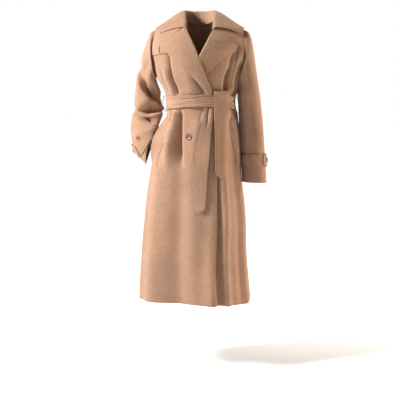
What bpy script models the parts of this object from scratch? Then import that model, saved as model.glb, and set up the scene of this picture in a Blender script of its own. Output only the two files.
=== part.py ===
"""Wool wrap coat, empty, in the form and pose it has when worn.

Metres, +Z up. The origin is the middle of the neck base on the shoulder line, +X is the wearer's
left and the front faces -Y. Every cloth piece is a sheet of even wall laid on one parametric form.
"""

import math

import bmesh
import bpy
import numpy as np

for old in list(bpy.data.objects):
    bpy.data.objects.remove(old)

WALL = 0.0023    # coating cloth, one piece thick
LAYER = 0.0036   # from the middle of one cloth layer to the middle of the next
SEAM = 0.0008    # half of the opening left between the fronts and the back at the shoulder seam
HEM, CHEST = -1.165, -0.200
SQUARE = 2.3     # how square the rings and the shoulder rounding are; 2 is an ellipse

# Rings of the body, from the hem to the chest line.
BODY = {
    "z":      [-1.18, -1.00, -0.80, -0.65, -0.52, -0.44, -0.385, -0.335, -0.29, -0.235, -0.200],
    "centre": [-.022, -.025, -.019, -.018, -.010, .000, .005, .003, .001, -.010, -.010],
    "side":   [.231, .219, .208, .190, .171, .152, .141, .138, .148, .167, .180],
    "front":  [.165, .158, .150, .145, .138, .128, .116, .112, .119, .128, .130],
    "back":   [.165, .160, .156, .152, .145, .128, .112, .106, .108, .114, .116],
}
# Rings from the chest line (1) to the shoulder seam (2).
YOKE = {
    "v":      [1.00, 1.35, 1.70, 2.00],
    "centre": [-.010, -.009, -.004, .000],
    "side":   [.180, .196, .191, .178],
}
# Folds of the body: where each starts and ends, its angle and height there, and its half width.
FOLDS = {
    "top":    [-.375, -.375, -.375, -.375, -.375, -.375, -.375, -.375, -.375, -.100, -.195, -.100, -.110],
    "bottom": [-1.20, -1.20, -1.20, -1.20, -1.20, -1.20, -1.20, -.600, -.500, -.310, -.310, -.310, -.310],
    "from":   [-66, -30, 32, 66, 112, 150, 205, -42, 6, -44, -58, 38, 60],
    "to":     [-60, -26, 38, 62, 108, 152, 208, -36, 10, -51, -62, 38, 66],
    "width":  [9, 10, 9, 9, 12, 12, 12, 6, 6, 5, 5, 5, 6],
    "high":   [.005, .006, .006, .005, .005, .005, .005, -.007, -.006, -.004, .001, -.005, -.003],
    "low":    [.013, .011, .013, .011, .013, .012, .012, -.001, -.001, -.011, .006, -.008, -.006],
}


def curve(table, column, at):
    """Smooth value of a column of a table, at a position along its first column."""
    keys, values = np.array(next(iter(table.values())), float), np.array(table[column], float)
    slope = np.diff(values) / np.diff(keys)
    product = slope[:-1] * slope[1:]
    inner = np.where(product > 0, 2 * product / np.where(product > 0, slope[:-1] + slope[1:], 1), 0)
    tangent = np.concatenate([slope[:1], inner, slope[-1:]])
    at = np.clip(at, keys[0], keys[-1])
    i = np.clip(np.searchsorted(keys, at, side="right") - 1, 0, len(keys) - 2)
    width = keys[i + 1] - keys[i]
    u = (at - keys[i]) / width
    return ((1 + 2 * u) * (1 - u) ** 2 * values[i] + u * (1 - u) ** 2 * width * tangent[i]
            + u * u * (3 - 2 * u) * values[i + 1] + u * u * (u - 1) * width * tangent[i + 1])


def ease(at, low, high):
    u = np.clip((at - low) / (high - low), 0, 1)
    return u * u * (3 - 2 * u)


def rounding(angle):
    return (abs(np.sin(angle)) ** SQUARE + abs(np.cos(angle)) ** SQUARE) ** (-1 / SQUARE)


def shoulder(x):
    return 0.018 - 0.336 * abs(x)


def folds(turn, z):
    """How far the folds push the cloth out."""
    total = 0.0
    for top, bottom, start, end, width, high, low in zip(*FOLDS.values()):
        down = (top - z) / (top - bottom)
        along = start + (end - start) * np.clip(down, 0, 1)
        size = high + (low - high) * np.clip(down, 0, 1)
        away = (turn - along + 180) % 360 - 180
        reach = ease(top - z, 0, 0.035) * ease(z - bottom, 0, 0.035)
        total = total + size * reach * np.exp(-(away / width) ** 2)
    return total


def form(turn, v, folded=1):
    """Point of the coat's form. turn: degrees from the front centre towards the wearer's left.
    v: 0 at the hem, 1 at the chest line, 2 at the shoulder seam. folded 0 leaves the folds out."""
    turn, v = np.broadcast_arrays(np.asarray(turn, float), np.asarray(v, float))
    t, up = np.radians(turn), np.radians(90) * np.clip(v - 1, 0, 1)
    z = HEM - 0.010 * np.sin(t) * np.clip(1 - 4 * v, 0, 1) + (CHEST - HEM) * np.clip(v, 0, 1)
    side = np.where(v <= 1, curve(BODY, "side", z), curve(YOKE, "side", v))
    centre = np.where(v <= 1, curve(BODY, "centre", z), curve(YOKE, "centre", v))
    depth = np.where(np.cos(t) > 0, curve(BODY, "front", z), curve(BODY, "back", z))
    out = folded * folds(turn, z) * np.cos(up)
    x = centre + (side + out) * rounding(t) * np.sin(t)
    y = -(depth + out) * rounding(t) * np.cos(t) * rounding(up) * np.cos(up)
    z = z + (shoulder(x) - CHEST) * rounding(up) * np.sin(up)
    return np.stack([x, y, z], -1)


def on_form(turn, v, lift=0.0, folded=1):
    """Point of the form, moved out of it by a lift."""
    turn, v = np.asarray(turn, float), np.asarray(v, float)
    ahead = form(turn, v + 0.004, folded) - form(turn, v - 0.004, folded)
    normal = np.cross(form(turn + 0.6, v, folded) - form(turn - 0.6, v, folded), ahead)
    normal /= np.linalg.norm(normal, axis=-1, keepdims=True) + 1e-12
    return form(turn, v, folded) + normal * np.asarray(lift)[..., None]


def place(x, z, folded=1):
    """The turn and v of the form's front at a given x and z."""
    x, z = np.broadcast_arrays(np.asarray(x, float), np.asarray(z, float))
    turn = 0.0 * x
    for _ in range(6):
        hem = HEM - 0.010 * np.sin(np.radians(turn))
        rise = np.clip((z - CHEST) / (shoulder(x) - CHEST), 0, 1)
        arc = np.arctan2(rise, (1 - rise ** SQUARE) ** (1 / SQUARE))
        low = np.clip((z - hem) / (CHEST - hem), 0, 1)
        low = np.where(low > 0.25, (z - HEM) / (CHEST - HEM), low)
        v = np.where(z <= CHEST, low, 1 + arc / np.radians(90))
        side = np.where(v <= 1, curve(BODY, "side", z), curve(YOKE, "side", v))
        centre = np.where(v <= 1, curve(BODY, "centre", z), curve(YOKE, "centre", v))
        out = folded * folds(turn, np.minimum(z, CHEST)) * np.where(v <= 1, 1, np.cos(arc))
        across = np.clip((x - centre) / (side + out), -1, 1)
        turn = np.degrees(np.arctan2(across, (1 - abs(across) ** SQUARE) ** (1 / SQUARE)))
    return turn, v


def on_front(x, z, lift=0.0, folded=1):
    return on_form(*place(x, z, folded), lift, folded)


def mesh_node(name, points, faces, material):
    mesh = bpy.data.meshes.new(name)
    mesh.from_pydata([tuple(p) for p in points], [], [tuple(int(i) for i in f) for f in faces])
    shape = bmesh.new()
    shape.from_mesh(mesh)
    if shape.calc_volume(signed=True) < 0:
        bmesh.ops.reverse_faces(shape, faces=shape.faces)
    shape.to_mesh(mesh)
    shape.free()
    mesh.materials.append(material)
    node = bpy.data.objects.new(name, mesh)
    bpy.context.scene.collection.objects.link(node)
    return node


def cloth(name, points, material, wall=WALL, ring=False, normal=None):
    """A closed sheet of even wall about a grid of points: rows upwards, columns towards the wearer's
    left when seen from outside. A ring's last column meets its first. Each cell is split along its
    shorter diagonal, the same on both faces, so the wall never pinches."""
    rows, columns = points.shape[:2]
    if normal is None:
        wide = np.concatenate([points[:, -1:], points, points[:, :1]], 1)
        across = wide[:, 2:] - wide[:, :-2] if ring else np.gradient(points, axis=1)
        normal = np.cross(across, np.gradient(points, axis=0))
        normal /= np.linalg.norm(normal, axis=-1, keepdims=True)
    both = np.concatenate([(points + normal * wall / 2).reshape(-1, 3),
                           (points - normal * wall / 2).reshape(-1, 3)])
    index = np.arange(rows * columns).reshape(rows, columns)
    if ring:
        index = np.concatenate([index, index[:, :1]], 1)
    inside, middle = index + rows * columns, points.reshape(-1, 3)
    faces = []
    for i in range(rows - 1):
        for j in range(index.shape[1] - 1):
            a, b, c, d = (i, j), (i, j + 1), (i + 1, j + 1), (i + 1, j)
            straight = np.linalg.norm(middle[index[a]] - middle[index[c]])
            crossed = np.linalg.norm(middle[index[b]] - middle[index[d]])
            for half in ((a, b, c), (a, c, d)) if straight < crossed else ((a, b, d), (b, c, d)):
                faces.append([index[k] for k in half])
                faces.append([inside[k] for k in half[::-1]])
    edges = [(index[0], inside[0]), (index[-1, ::-1], inside[-1, ::-1])]
    if not ring:
        edges += [(index[::-1, 0], inside[::-1, 0]), (index[:, -1], inside[:, -1])]
    for outer, inner in edges:
        for k in range(len(outer) - 1):
            faces.append([inner[k], inner[k + 1], outer[k + 1], outer[k]])
    return mesh_node(name, both, faces, material)


def material(name, colour, roughness):
    made = bpy.data.materials.new(name)
    made.use_nodes = True
    shader = made.node_tree.nodes["Principled BSDF"]
    shader.inputs["Base Color"].default_value = (*colour, 1)
    shader.inputs["Roughness"].default_value = roughness
    made.diffuse_color = (*colour, 1)
    return made


WOOL = material("camel_wool", (0.50, 0.27, 0.13), 0.9)
THREAD = material("grey_thread", (0.10, 0.09, 0.09), 0.8)
HORN = material("brown_button", (0.12, 0.05, 0.025), 0.35)

# ---- body panels -------------------------------------------------------------------------------
SIDE_SEAM = 92.0
YOKE_DEPTH = BODY["back"][-1]
ARMPIT = (-0.235 - HEM) / (CHEST - HEM)
LOW_ROWS = np.concatenate([[0.0, 0.012], np.linspace(0.09, 0.70, 7),
                           [0.755, 0.797, 0.824, 0.855, 0.888, 0.922, ARMPIT]])
YOKE_ROWS = np.array([1.0, 1.12, 1.26, 1.42, 1.58, 1.74, 1.88, 1.993])
ROWS = np.concatenate([LOW_ROWS, YOKE_ROWS])

# Roll lines and front edges: x at each height, lowest first.
RIGHT_EDGE = {"z": [-1.18, -.99, -.79, -.61, -.40, -.306, -.217, -.128, -.048, .0],
              "x": [.053, .062, .068, .069, .055, .044, .0122, -.0202, -.0555, -.066]}
LEFT_EDGE = {"z": [-1.18, -.80, -.40, -.31, -.22, -.154, -.056, .0],
             "x": [-.060, -.060, -.062, -.060, -.031, .000, .0486, .066]}


def armhole(v, way=-1):
    """Turn of the side seam and, above it, of the armhole's edge: way -1 front, 1 back."""
    up = np.clip((v - ARMPIT) / (2 - ARMPIT), 0, 1)
    return SIDE_SEAM - 2 * up + way * (0.15 + 27 * np.sin(np.pi * up) ** 0.6)


def edge_turn(table, v):
    """Turn at which a front's inner edge lies, row by row."""
    x = np.zeros_like(v)
    for _ in range(12):
        up = np.radians(90) * np.clip(v - 1, 0, 1)
        z = HEM + (CHEST - HEM) * np.clip(v, 0, 1) + (shoulder(x) - CHEST) * rounding(up) * np.sin(up)
        x = 0.5 * x + 0.5 * curve(table, "x", z)
    return place(x, z)[0]


def front_lift(turn, v):
    """The right front rides over the left front, and over its lapel above the belt."""
    layers = 1.1 + 1.3 * ease(v, 0.80, 0.87) - 2.4 * ease(v, 1.2, 1.6)
    return LAYER * layers * ease(turn, -78, -48)


def front(name, way, table, fixed):
    """A front panel, from its side seam and armhole to its free edge. way: -1 right, 1 left.
    Its columns keep their turn outside the fixed one, and follow the free edge inside it."""
    inner, outer = edge_turn(table, ROWS)[:, None], way * armhole(ROWS)[:, None]
    far, near = np.linspace(0, 1, 13)[None, :-1], np.append(np.linspace(0, .97, 8), 1)[None, :]
    turn = np.concatenate([outer + (way * fixed - outer) * far,
                           way * fixed + (inner - way * fixed) * near], 1)
    v = np.broadcast_to(ROWS[:, None], turn.shape)
    lift = front_lift(turn, v) if way < 0 else 0 * turn
    points = on_form(turn, v, lift) - [0, SEAM, 0] * ease(v, 1.88, ROWS[-1])[..., None]
    return cloth(name, points if way < 0 else points[:, ::-1], WOOL)


front("front_right", -1, RIGHT_EDGE, 36)
front("front_left", 1, LEFT_EDGE, 30)


def back_panel():
    """Its columns fan out evenly below the chest, and run straight up to the shoulders and neck."""
    neck = 0.066 / YOKE["side"][-1]
    half = np.concatenate([np.linspace(0, neck, 5), np.linspace(neck, 1, 9)[1:]])
    share = np.concatenate([-half[:0:-1], half])[None, :]
    outer = armhole(ROWS, 1)[:, None]
    across = share * rounding(np.radians(outer)) * np.sin(np.radians(outer))
    straight = np.degrees(np.arctan2(across, (1 - abs(across) ** SQUARE) ** (1 / SQUARE)))
    upper = ease(ROWS, 0.86, 1.15)[:, None]
    turn = 180 + share * (180 - outer) * (1 - upper) + straight * upper
    deep = 0.070 * np.sqrt(np.clip(1 - (share[0] / neck) ** 2, 0, 1)) / YOKE_DEPTH
    top = np.minimum(1 + np.arccos(deep) / np.radians(90), 1.9975)
    v = np.where(ROWS[:, None] <= 1, ROWS[:, None], 1 + (ROWS[:, None] - 1) * (top - 1) / 0.9975)
    points = on_form(turn, v) + [0, SEAM, 0] * ease(v, 1.88, ROWS[-1])[..., None]
    return cloth("back", points, WOOL, normal=on_form(turn, v, 1.0) - on_form(turn, v))


back_panel()


# ---- lapels ------------------------------------------------------------------------------------
RIGHT_LAPEL = {"z": [-.306, -.255, -.200, -.1505, -.107, -.078, -.052],
               "x": [.030, -.012, -.067, -.121, -.1475, -.1125, -.078]}
LEFT_LAPEL = {"z": [-.306, -.2236, -.190, -.158, -.134, -.1086, -.057],
              "x": [-.042, .0282, .0648, .101, .142, .1557, .079]}


def lapel(name, way, roll, outline, high):
    """A lapel: it starts at the front's edge, turns over the roll line and lies back on the front."""
    corners = np.array(outline["z"])
    rows = np.sort(np.concatenate([corners, (corners[1:] + corners[:-1]) / 2]))
    edge, tip = curve(roll, "x", rows), np.interp(rows, corners, outline["x"])
    turn, v = place(edge, rows, 0)
    base = front_lift(turn, v) if way < 0 else 0 * turn
    points = []
    for angle in (0, 60, 120, 180):
        a = math.radians(angle)
        x = edge - way * (0.0016 + high / 2 * math.sin(a))
        points.append(on_front(x, rows, base + high / 2 * (1 - math.cos(a)), 0))
    for share in (0.22, 0.48, 0.75, 1.0):
        x = edge + (tip - edge) * share
        turn, v = place(x, rows, 0)
        base = front_lift(turn, v) if way < 0 else 0 * turn
        points.append(on_form(turn, v, base + high * (1 + 0.25 * math.sin(math.pi * share)), 0))
    points = np.stack(points, 1)
    return cloth(name, points if way < 0 else points[:, ::-1], WOOL)


lapel("lapel_right", -1, RIGHT_EDGE, RIGHT_LAPEL, 2 * LAYER)
lapel("lapel_left", 1, LEFT_EDGE, LEFT_LAPEL, 1.3 * LAYER)

# ---- collar ------------------------------------------------------------------------------------
# Half of the collar, from its front end (0) to the middle of the back (1).
COLLAR = {
    "along":  [0, .18, .36, .52, .70, .85, 1],
    "roll_x": [.0500, .0530, .0570, .0590, .0520, .030, 0],
    "roll_y": [-.090, -.062, -.030, .005, .048, .070, .077],
    "roll_z": [-.046, -.016, .018, .037, .042, .042, .042],
    "neck_x": [.0560, .0600, .0640, .0660, .0540, .030, 0],
    "neck_y": [-.078, -.052, -.024, .004, .040, .061, .0685],
    "neck_z": [-.058, -.034, -.014, -.004, -.010, -.020, -.022],
    "edge_x": [.1640, .1760, .1820, .1790, .1500, .085, 0],
    "edge_y": [-.060, -.036, -.006, .026, .082, .122, .132],
    "edge_z": [-.0590, -.046, -.0345, -.038, -.072, -.092, -.094],
}


def clear_of_form(points, gap):
    """Points, moved out where they are nearer than a gap to the form."""
    turn, v = np.meshgrid(np.arange(0, 360, 4), np.linspace(0.9, 2, 40))
    base, over = on_form(turn, v).reshape(-1, 3), on_form(turn, v, 0.01).reshape(-1, 3)
    normal = (over - base) / 0.01
    nearest = np.argmin(np.linalg.norm(points[..., None, :] - base, axis=-1), axis=-1)
    height = ((points - base[nearest]) * normal[nearest]).sum(-1)
    return points + normal[nearest] * np.maximum(gap - height, 0)[..., None]


def collar():
    """Stand, roll and fall in one strip round the neck."""
    along = np.linspace(0, 1, 13)
    line = {key: curve(COLLAR, key, along) for key in COLLAR}
    neck, roll, edge = (np.stack([line[f"{part}_{axis}"] for axis in "xyz"], -1)
                        for part in ("neck", "roll", "edge"))
    inward = neck * [1, 1, 0]
    inward /= -np.linalg.norm(inward, axis=-1, keepdims=True)
    up = np.array([0, 0, 1.0])
    foot = neck + inward * 0.0032 + up * 0.0050
    strips = [foot, foot + (roll - foot) * 0.45 + inward * 0.001, roll + inward * 0.003 - up * 0.006,
              roll + up * 0.0]
    for share in (0.07, 0.22, 0.42, 0.62, 0.82, 1.0):
        arch = 0.010 * math.sin(math.pi * share ** 0.6) * up
        strips.append(clear_of_form(roll + (edge - roll) * share + arch, 0.0100))
    half = np.stack(strips)
    points = np.concatenate([half * [-1, 1, 1], half[:, -2::-1]], 1)
    return cloth("collar", points[:, ::-1], WOOL)


collar()

# ---- storm flap --------------------------------------------------------------------------------
FLAP_FOOT = -0.147


def storm_flap():
    """It follows the right armhole from the shoulder seam and hangs free under the lapel."""
    v_low = float(place(-0.165, FLAP_FOOT)[1])
    v = np.concatenate([np.linspace(v_low, 1.9, 7), [1.975]])[:, None]
    inner = place(np.full(1, -0.105), np.full(1, -0.12))[0][0]
    turn = (-armhole(v) + 0.9) * (1 - np.linspace(0, 1, 7)) + inner * np.linspace(0, 1, 7)
    return cloth("storm_flap", on_form(turn, v, front_lift(turn, v) + LAYER, 0), WOOL)


storm_flap()

# ---- sleeves -----------------------------------------------------------------------------------
# Outer line (over the shoulder and elbow), inner line (from the armpit) and half depth, row by row.
SLEEVE_LEFT = {
    "row":   [0, 1, 2, 3, 4, 5, 6, 7, 8, 9, 10, 11],
    "out_x": [.178, .196, .207, .216, .224, .232, .241, .252, .260, .266, .271, .277],
    "out_y": [.000, .001, .002, .002, .002, .002, .002, .004, .002, -.004, -.008, -.012],
    "out_z": [-.044, -.050, -.068, -.100, -.150, -.205, -.265, -.340, -.420, -.500, -.580, -.672],
    "in_x":  [.158, .1575, .157, .157, .158, .159, .162, .170, .177, .180, .181, .181],
    "in_y":  [.000, .000, .000, .000, .000, .000, .000, .004, -.002, -.010, -.016, -.020],
    "in_z":  [-.2375, -.240, -.243, -.247, -.254, -.268, -.297, -.355, -.427, -.502, -.580, -.669],
    "deep":  [.090, .086, .082, .078, .074, .070, .066, .063, .060, .057, .056, .056],
}
SLEEVE_RIGHT = {
    "row":   [0, 1, 2, 3, 4, 5, 6, 7, 8, 9, 10, 11, 12],
    "out_x": [-.178, -.197, -.209, -.226, -.243, -.256, -.262, -.268, -.278, -.287, -.281, -.252, -.221],
    "out_y": [.000, .002, .005, .012, .022, .034, .048, .066, .078, .070, .057, .041, .024],
    "out_z": [-.044, -.050, -.068, -.108, -.155, -.205, -.262, -.330, -.390, -.452, -.510, -.565, -.603],
    "in_x":  [-.1775, -.180, -.181, -.181, -.180, -.176, -.170, -.162, -.157, -.159, -.166, -.177, -.192],
    "in_y":  [.000, .001, .003, .006, .010, .014, .018, .020, .016, .000, -.016, -.025, -.030],
    "in_z":  [-.2375, -.240, -.243, -.248, -.256, -.270, -.293, -.328, -.360, -.386, -.412, -.446, -.487],
    "deep":  [.090, .086, .082, .078, .074, .070, .066, .062, .060, .060, .057, .050, .043],
}
ROUND = 2 * len(YOKE_ROWS)


def armhole_ring(way):
    """Edge of the armhole from the shoulder, down its front, under the arm and up its back."""
    ahead = np.concatenate([YOKE_ROWS[::-1], [ARMPIT]])
    behind = np.concatenate([YOKE_ROWS[:-1]])
    turn, v = np.concatenate([armhole(ahead), armhole(behind, 1)]), np.concatenate([ahead, behind])
    base = np.where(np.arange(ROUND) < len(ahead), front_lift(-turn, v) if way < 0 else 0, 0)
    return on_form(way * turn, v, base)


def sleeve_point(table, way, row, angle):
    """Point of a sleeve. angle: 0 on the outer line, 90 in front, 180 on the inner line."""
    row, angle = np.broadcast_arrays(np.asarray(row, float), np.radians(np.asarray(angle, float)))
    outer, inner = (np.stack([curve(table, f"{part}_{axis}", row) for axis in "xyz"], -1)
                    for part in ("out", "in"))
    out_way = (outer - inner) / np.linalg.norm(outer - inner, axis=-1, keepdims=True)
    front_way = np.array([0, -1.0, 0]) + out_way[..., 1:2] * out_way
    front_way /= np.linalg.norm(front_way, axis=-1, keepdims=True)
    half = np.linalg.norm(outer - inner, axis=-1) / 2
    deep = curve(table, "deep", row)
    crease = creases(way, row, np.degrees(angle))
    return ((outer + inner) / 2 + out_way * ((half + crease) * np.cos(angle))[..., None]
            + front_way * ((deep + crease) * np.sin(angle))[..., None])


def on_sleeve(table, way, row, angle, lift):
    """Point of a sleeve, moved out of it by a lift."""
    row, angle = np.asarray(row, float), np.asarray(angle, float)
    down = sleeve_point(table, way, row + 0.03, angle) - sleeve_point(table, way, row - 0.03, angle)
    round_it = sleeve_point(table, way, row, angle + 1) - sleeve_point(table, way, row, angle - 1)
    normal = np.cross(down, round_it) * -way
    normal /= np.linalg.norm(normal, axis=-1, keepdims=True)
    return sleeve_point(table, way, row, angle) + normal * np.asarray(lift)[..., None]


def creases(way, row, angle):
    """Ridges and hollows of the cloth at the elbow and along the arm."""
    away = lambda centre: (angle - centre + 180) % 360 - 180
    if way > 0:
        return 0.003 * np.exp(-((row - 7 + away(90) / 120) / 0.7) ** 2 - (away(90) / 60) ** 2)
    total = 0.0
    for centre, slant, width, at, spread, size in (
            (6.6, -.9, .40, 80, 75, -.011), (7.5, -.5, .35, 80, 70, .009),
            (8.25, -.1, .30, 80, 70, -.012), (9.1, .3, .40, 90, 70, .007)):
        total = total + size * np.exp(-((row - centre - slant * away(at) / 90) / width) ** 2
                                      - (away(at) / spread) ** 2)
    return total


def sleeve(name, table, way, rows):
    angle = np.arange(ROUND) * 360 / ROUND
    ring0 = armhole_ring(way)
    start = ring0 + np.array([way * 0.0020, 0, 0])
    points = [start]
    for row in rows:
        ring = sleeve_point(table, way, row, angle)
        hold = 1 - ease(row, 0, 3.2)
        drift = start + np.array([way * 0.012 * row, 0, -0.004 * row])
        points.append(drift * hold + ring * (1 - hold))
    points = np.stack(points)[::-1]
    return cloth(name, points if way > 0 else points[:, ::-1], WOOL, ring=True)


sleeve("sleeve_left", SLEEVE_LEFT, 1, np.concatenate([np.arange(.5, 4, .5), np.arange(4, 11, 0.7), [11]]))
sleeve("sleeve_right", SLEEVE_RIGHT, -1, np.concatenate([np.arange(.5, 6, .5), np.arange(6, 12.01, .4)]))


# ---- cuff straps -------------------------------------------------------------------------------
def cuff_strap(name, table, way, low, high, begin, skew=0.0):
    """A strap once round the sleeve, its pointed end lapped over its start."""
    step = 360 / 22
    turns = np.concatenate([np.arange(22) * step, [352], 360 + np.arange(3) * step])
    share = np.array([0, .08, .5, .92, 1])[:, None]
    angle = begin + turns[None, :]
    lap = ease(turns, 338, 356)[None, :]
    narrow = np.where(turns > 385, 0.35, 1.0)[None, :]
    middle = (low + high) / 2 + skew * np.sin(np.radians(angle - 90))
    row = middle + (high - low) * (0.5 - share) * narrow
    points = on_sleeve(table, way, row, angle, LAYER * (1.1 + lap) + 0 * row)
    return cloth(name, points if way > 0 else points[:, ::-1], WOOL)


cuff_strap("cuff_strap_left", SLEEVE_LEFT, 1, 9.66, 10.30, 20 - 360)
cuff_strap("cuff_strap_right", SLEEVE_RIGHT, -1, 10.0, 10.95, 20 - 360)

# ---- pocket welts ------------------------------------------------------------------------------
WELT_RIGHT = {"z": [-.605, -.553, -.498, -.455, -.415],
              "x": [-.176, -.163, -.137, -.122, -.112]}
WELT_LEFT = {"z": [-.600, -.546, -.494, -.450, -.412],
             "x": [.147, .140, .127, .118, .112]}


def pocket_welt(name, way, seam, side, stand):
    """A slanted welt, sewn down along its front line; its edge at the side stands open."""
    rows = np.linspace(seam["z"][0], seam["z"][-1], 9)[:, None]
    start = place(curve(seam, "x", rows), rows)[0]
    share = np.array([0, .05, .18, .32, .46, .60, .74, .88, .97, 1])[None, :]
    turn = start + (way * side - start) * share
    open_edge = stand * np.sin(np.pi * np.linspace(0.02, 0.98, 9)[:, None]) * share ** 1.5
    z = rows + 0.012 * share
    v = (z - HEM) / (CHEST - HEM)
    base = front_lift(turn, v) if way < 0 else 0 * turn
    sewn = WALL + 0.0006 + (1.35 * LAYER - WALL) * ease(share, 0.02, 0.2)
    points = on_form(turn, v, base + sewn + open_edge)
    return cloth(name, points if way > 0 else points[:, ::-1], WOOL)


pocket_welt("pocket_welt_right", -1, WELT_RIGHT, 67, 0.023)
pocket_welt("pocket_welt_left", 1, WELT_LEFT, 82, 0.004)

# ---- belt --------------------------------------------------------------------------------------
BELT = {
    "turn":   [30, 50, 90, 135, 180, 225, 270, 320, 360, 390],
    "middle": [-.331, -.337, -.350, -.352, -.350, -.348, -.3445, -.336, -.333, -.332],
    "half":   [.0265, .027, .029, .028, .028, .028, .0275, .027, .026, .026],
}


def belt_lift(turn):
    """Height of the band's middle over the form: over both fronts, and over the tails' roots."""
    away = (turn + 180) % 360 - 180
    over_front = 2.25 * LAYER * ease(away, -78, -48) * (1 - ease(away, 48, 72))
    return over_front + LAYER * (1.4 + 1.0 * ease(away, -24, -6) * (1 - ease(away, 56, 72)))


def belt_band():
    turn = np.concatenate([[33.5], np.arange(40, 380, 9.5), [383, 387.5]])[None, :]
    share = np.array([-1, -.93, -.45, 0, .45, .93, 1])[:, None]
    z = curve(BELT, "middle", turn) + curve(BELT, "half", turn) * share
    pleat = 0.0012 * np.cos(np.pi * 2.2 * share) * ease(abs(turn - 210), 90, 160)
    v = (z - HEM) / (CHEST - HEM)
    return cloth("belt_band", on_form(turn, v, belt_lift(turn) + pleat), WOOL)


belt_band()

TAIL_OVER = {"z": [-.642, -.600, -.540, -.460, -.400, -.366], "x": [.087, .087, .0865, .084, .081, .080],
             "half": [.029, .029, .0288, .0285, .0285, .0285],
             "lift": [.0095, .0095, .0105, .0140, .0200, .0222]}
TAIL_UNDER = {"z": [-.781, -.740, -.650, -.560, -.480, -.410, -.365, -.335],
              "x": [-.006, -.004, .001, .009, .018, .030, .034, .035],
              "half": [.0265, .0265, .0265, .026, .0240, .0200, .0170, .0165],
              "lift": [.0085, .0085, .0085, .009, .010, .0116, .0119, .0119]}


def tail_grid(path, rows):
    """Points of a hanging belt end, its free end rounded."""
    share = np.array([-1, -.9, -.45, 0, .45, .9, 1])[None, :]
    foot, half = path["z"][0], curve(path, "half", rows)
    near = np.clip((rows - foot) / 0.022, 0, 1)
    narrow = 1 - (1 - near) ** 2 * 0.45
    x = curve(path, "x", rows)[:, None] + (half * narrow)[:, None] * share
    z = rows[:, None] + 0 * share
    return on_front(x, z, curve(path, "lift", rows)[:, None] + 0 * share)


def end_rows(foot, top, count):
    return np.concatenate([foot + np.array([0, .004, .012, .024]), np.linspace(foot + .05, top, count)])


cloth("belt_tail_under", tail_grid(TAIL_UNDER, end_rows(-.781, -.335, 10)), WOOL)


def tail_over():
    """It comes up behind the band, turns over its top edge and hangs down in front."""
    hanging = tail_grid(TAIL_OVER, end_rows(-.642, -.366, 6))
    share = np.array([-1, -.9, -.45, 0, .45, .9, 1])
    rows = []
    for level, lift in ((-.340, .0224), (-.306, .0224), (-.2955, .0203), (-.2915, .0163), (-.2955, .0122),
                    (-.306, .0102), (-.335, .0100)):
        low = min(level, -.306)
        rows.append(on_front(0.080 + 0.0285 * share, np.full(7, low), lift) + [0, 0, level - low])
    return cloth("belt_tail_over", np.concatenate([hanging, np.stack(rows)]), WOOL)


tail_over()


# ---- thread carriers and keepers ---------------------------------------------------------------
def tube(name, path, radius, made_of, sides=6):
    """A round cord along a path."""
    path = np.array(path)
    along = np.gradient(path, axis=0)
    along /= np.linalg.norm(along, axis=1, keepdims=True)
    aside = np.cross(along, [0.31, 0.93, 0.17])
    aside /= np.linalg.norm(aside, axis=1, keepdims=True)
    other = np.cross(along, aside)
    angle = np.arange(sides) * 2 * np.pi / sides
    rings = path[:, None] + radius * (aside[:, None] * np.cos(angle)[None, :, None]
                                      + other[:, None] * np.sin(angle)[None, :, None])
    faces = [[i * sides + j, i * sides + (j + 1) % sides, (i + 1) * sides + (j + 1) % sides,
              (i + 1) * sides + j] for i in range(len(path) - 1) for j in range(sides)]
    last = (len(path) - 1) * sides
    faces += [list(range(sides))[::-1], [last + j for j in range(sides)]]
    return mesh_node(name, rings.reshape(-1, 3), faces, made_of)


def carrier(name, turn, stand):
    """A thread loop at a side seam, standing round the belt."""
    path = []
    for level, lift in ((-.298, .0020), (-.301, .008), (-.306, stand), (-.325, stand + .004),
                    (-.350, stand + .005), (-.375, stand + .004), (-.386, stand), (-.391, .008),
                    (-.393, .0020)):
        path.append(on_form(turn, (level - HEM) / (CHEST - HEM), lift))
    return tube(name, path, 0.0011, THREAD)


carrier("belt_carrier_right", -86.0, 0.0125)
carrier("belt_carrier_left", 86.0, 0.0125)


def keeper(name, table, way, low, high, angle, foot):
    """A thread loop that carries a cuff strap."""
    spots = ((low - .07, foot), (low - .05, .0055), (low - .02, .0075), ((low + high) / 2, .0078),
             (high + .02, .0075), (high + .05, .0055), (high + .07, foot))
    return tube(name, [on_sleeve(table, way, row, angle, lift) for row, lift in spots], 0.0008, THREAD)


keeper("strap_keeper_left", SLEEVE_LEFT, 1, 9.66, 10.30, -28, 0.0016)
keeper("strap_keeper_right", SLEEVE_RIGHT, -1, 10.0, 10.95, -28, 0.0008)


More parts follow.
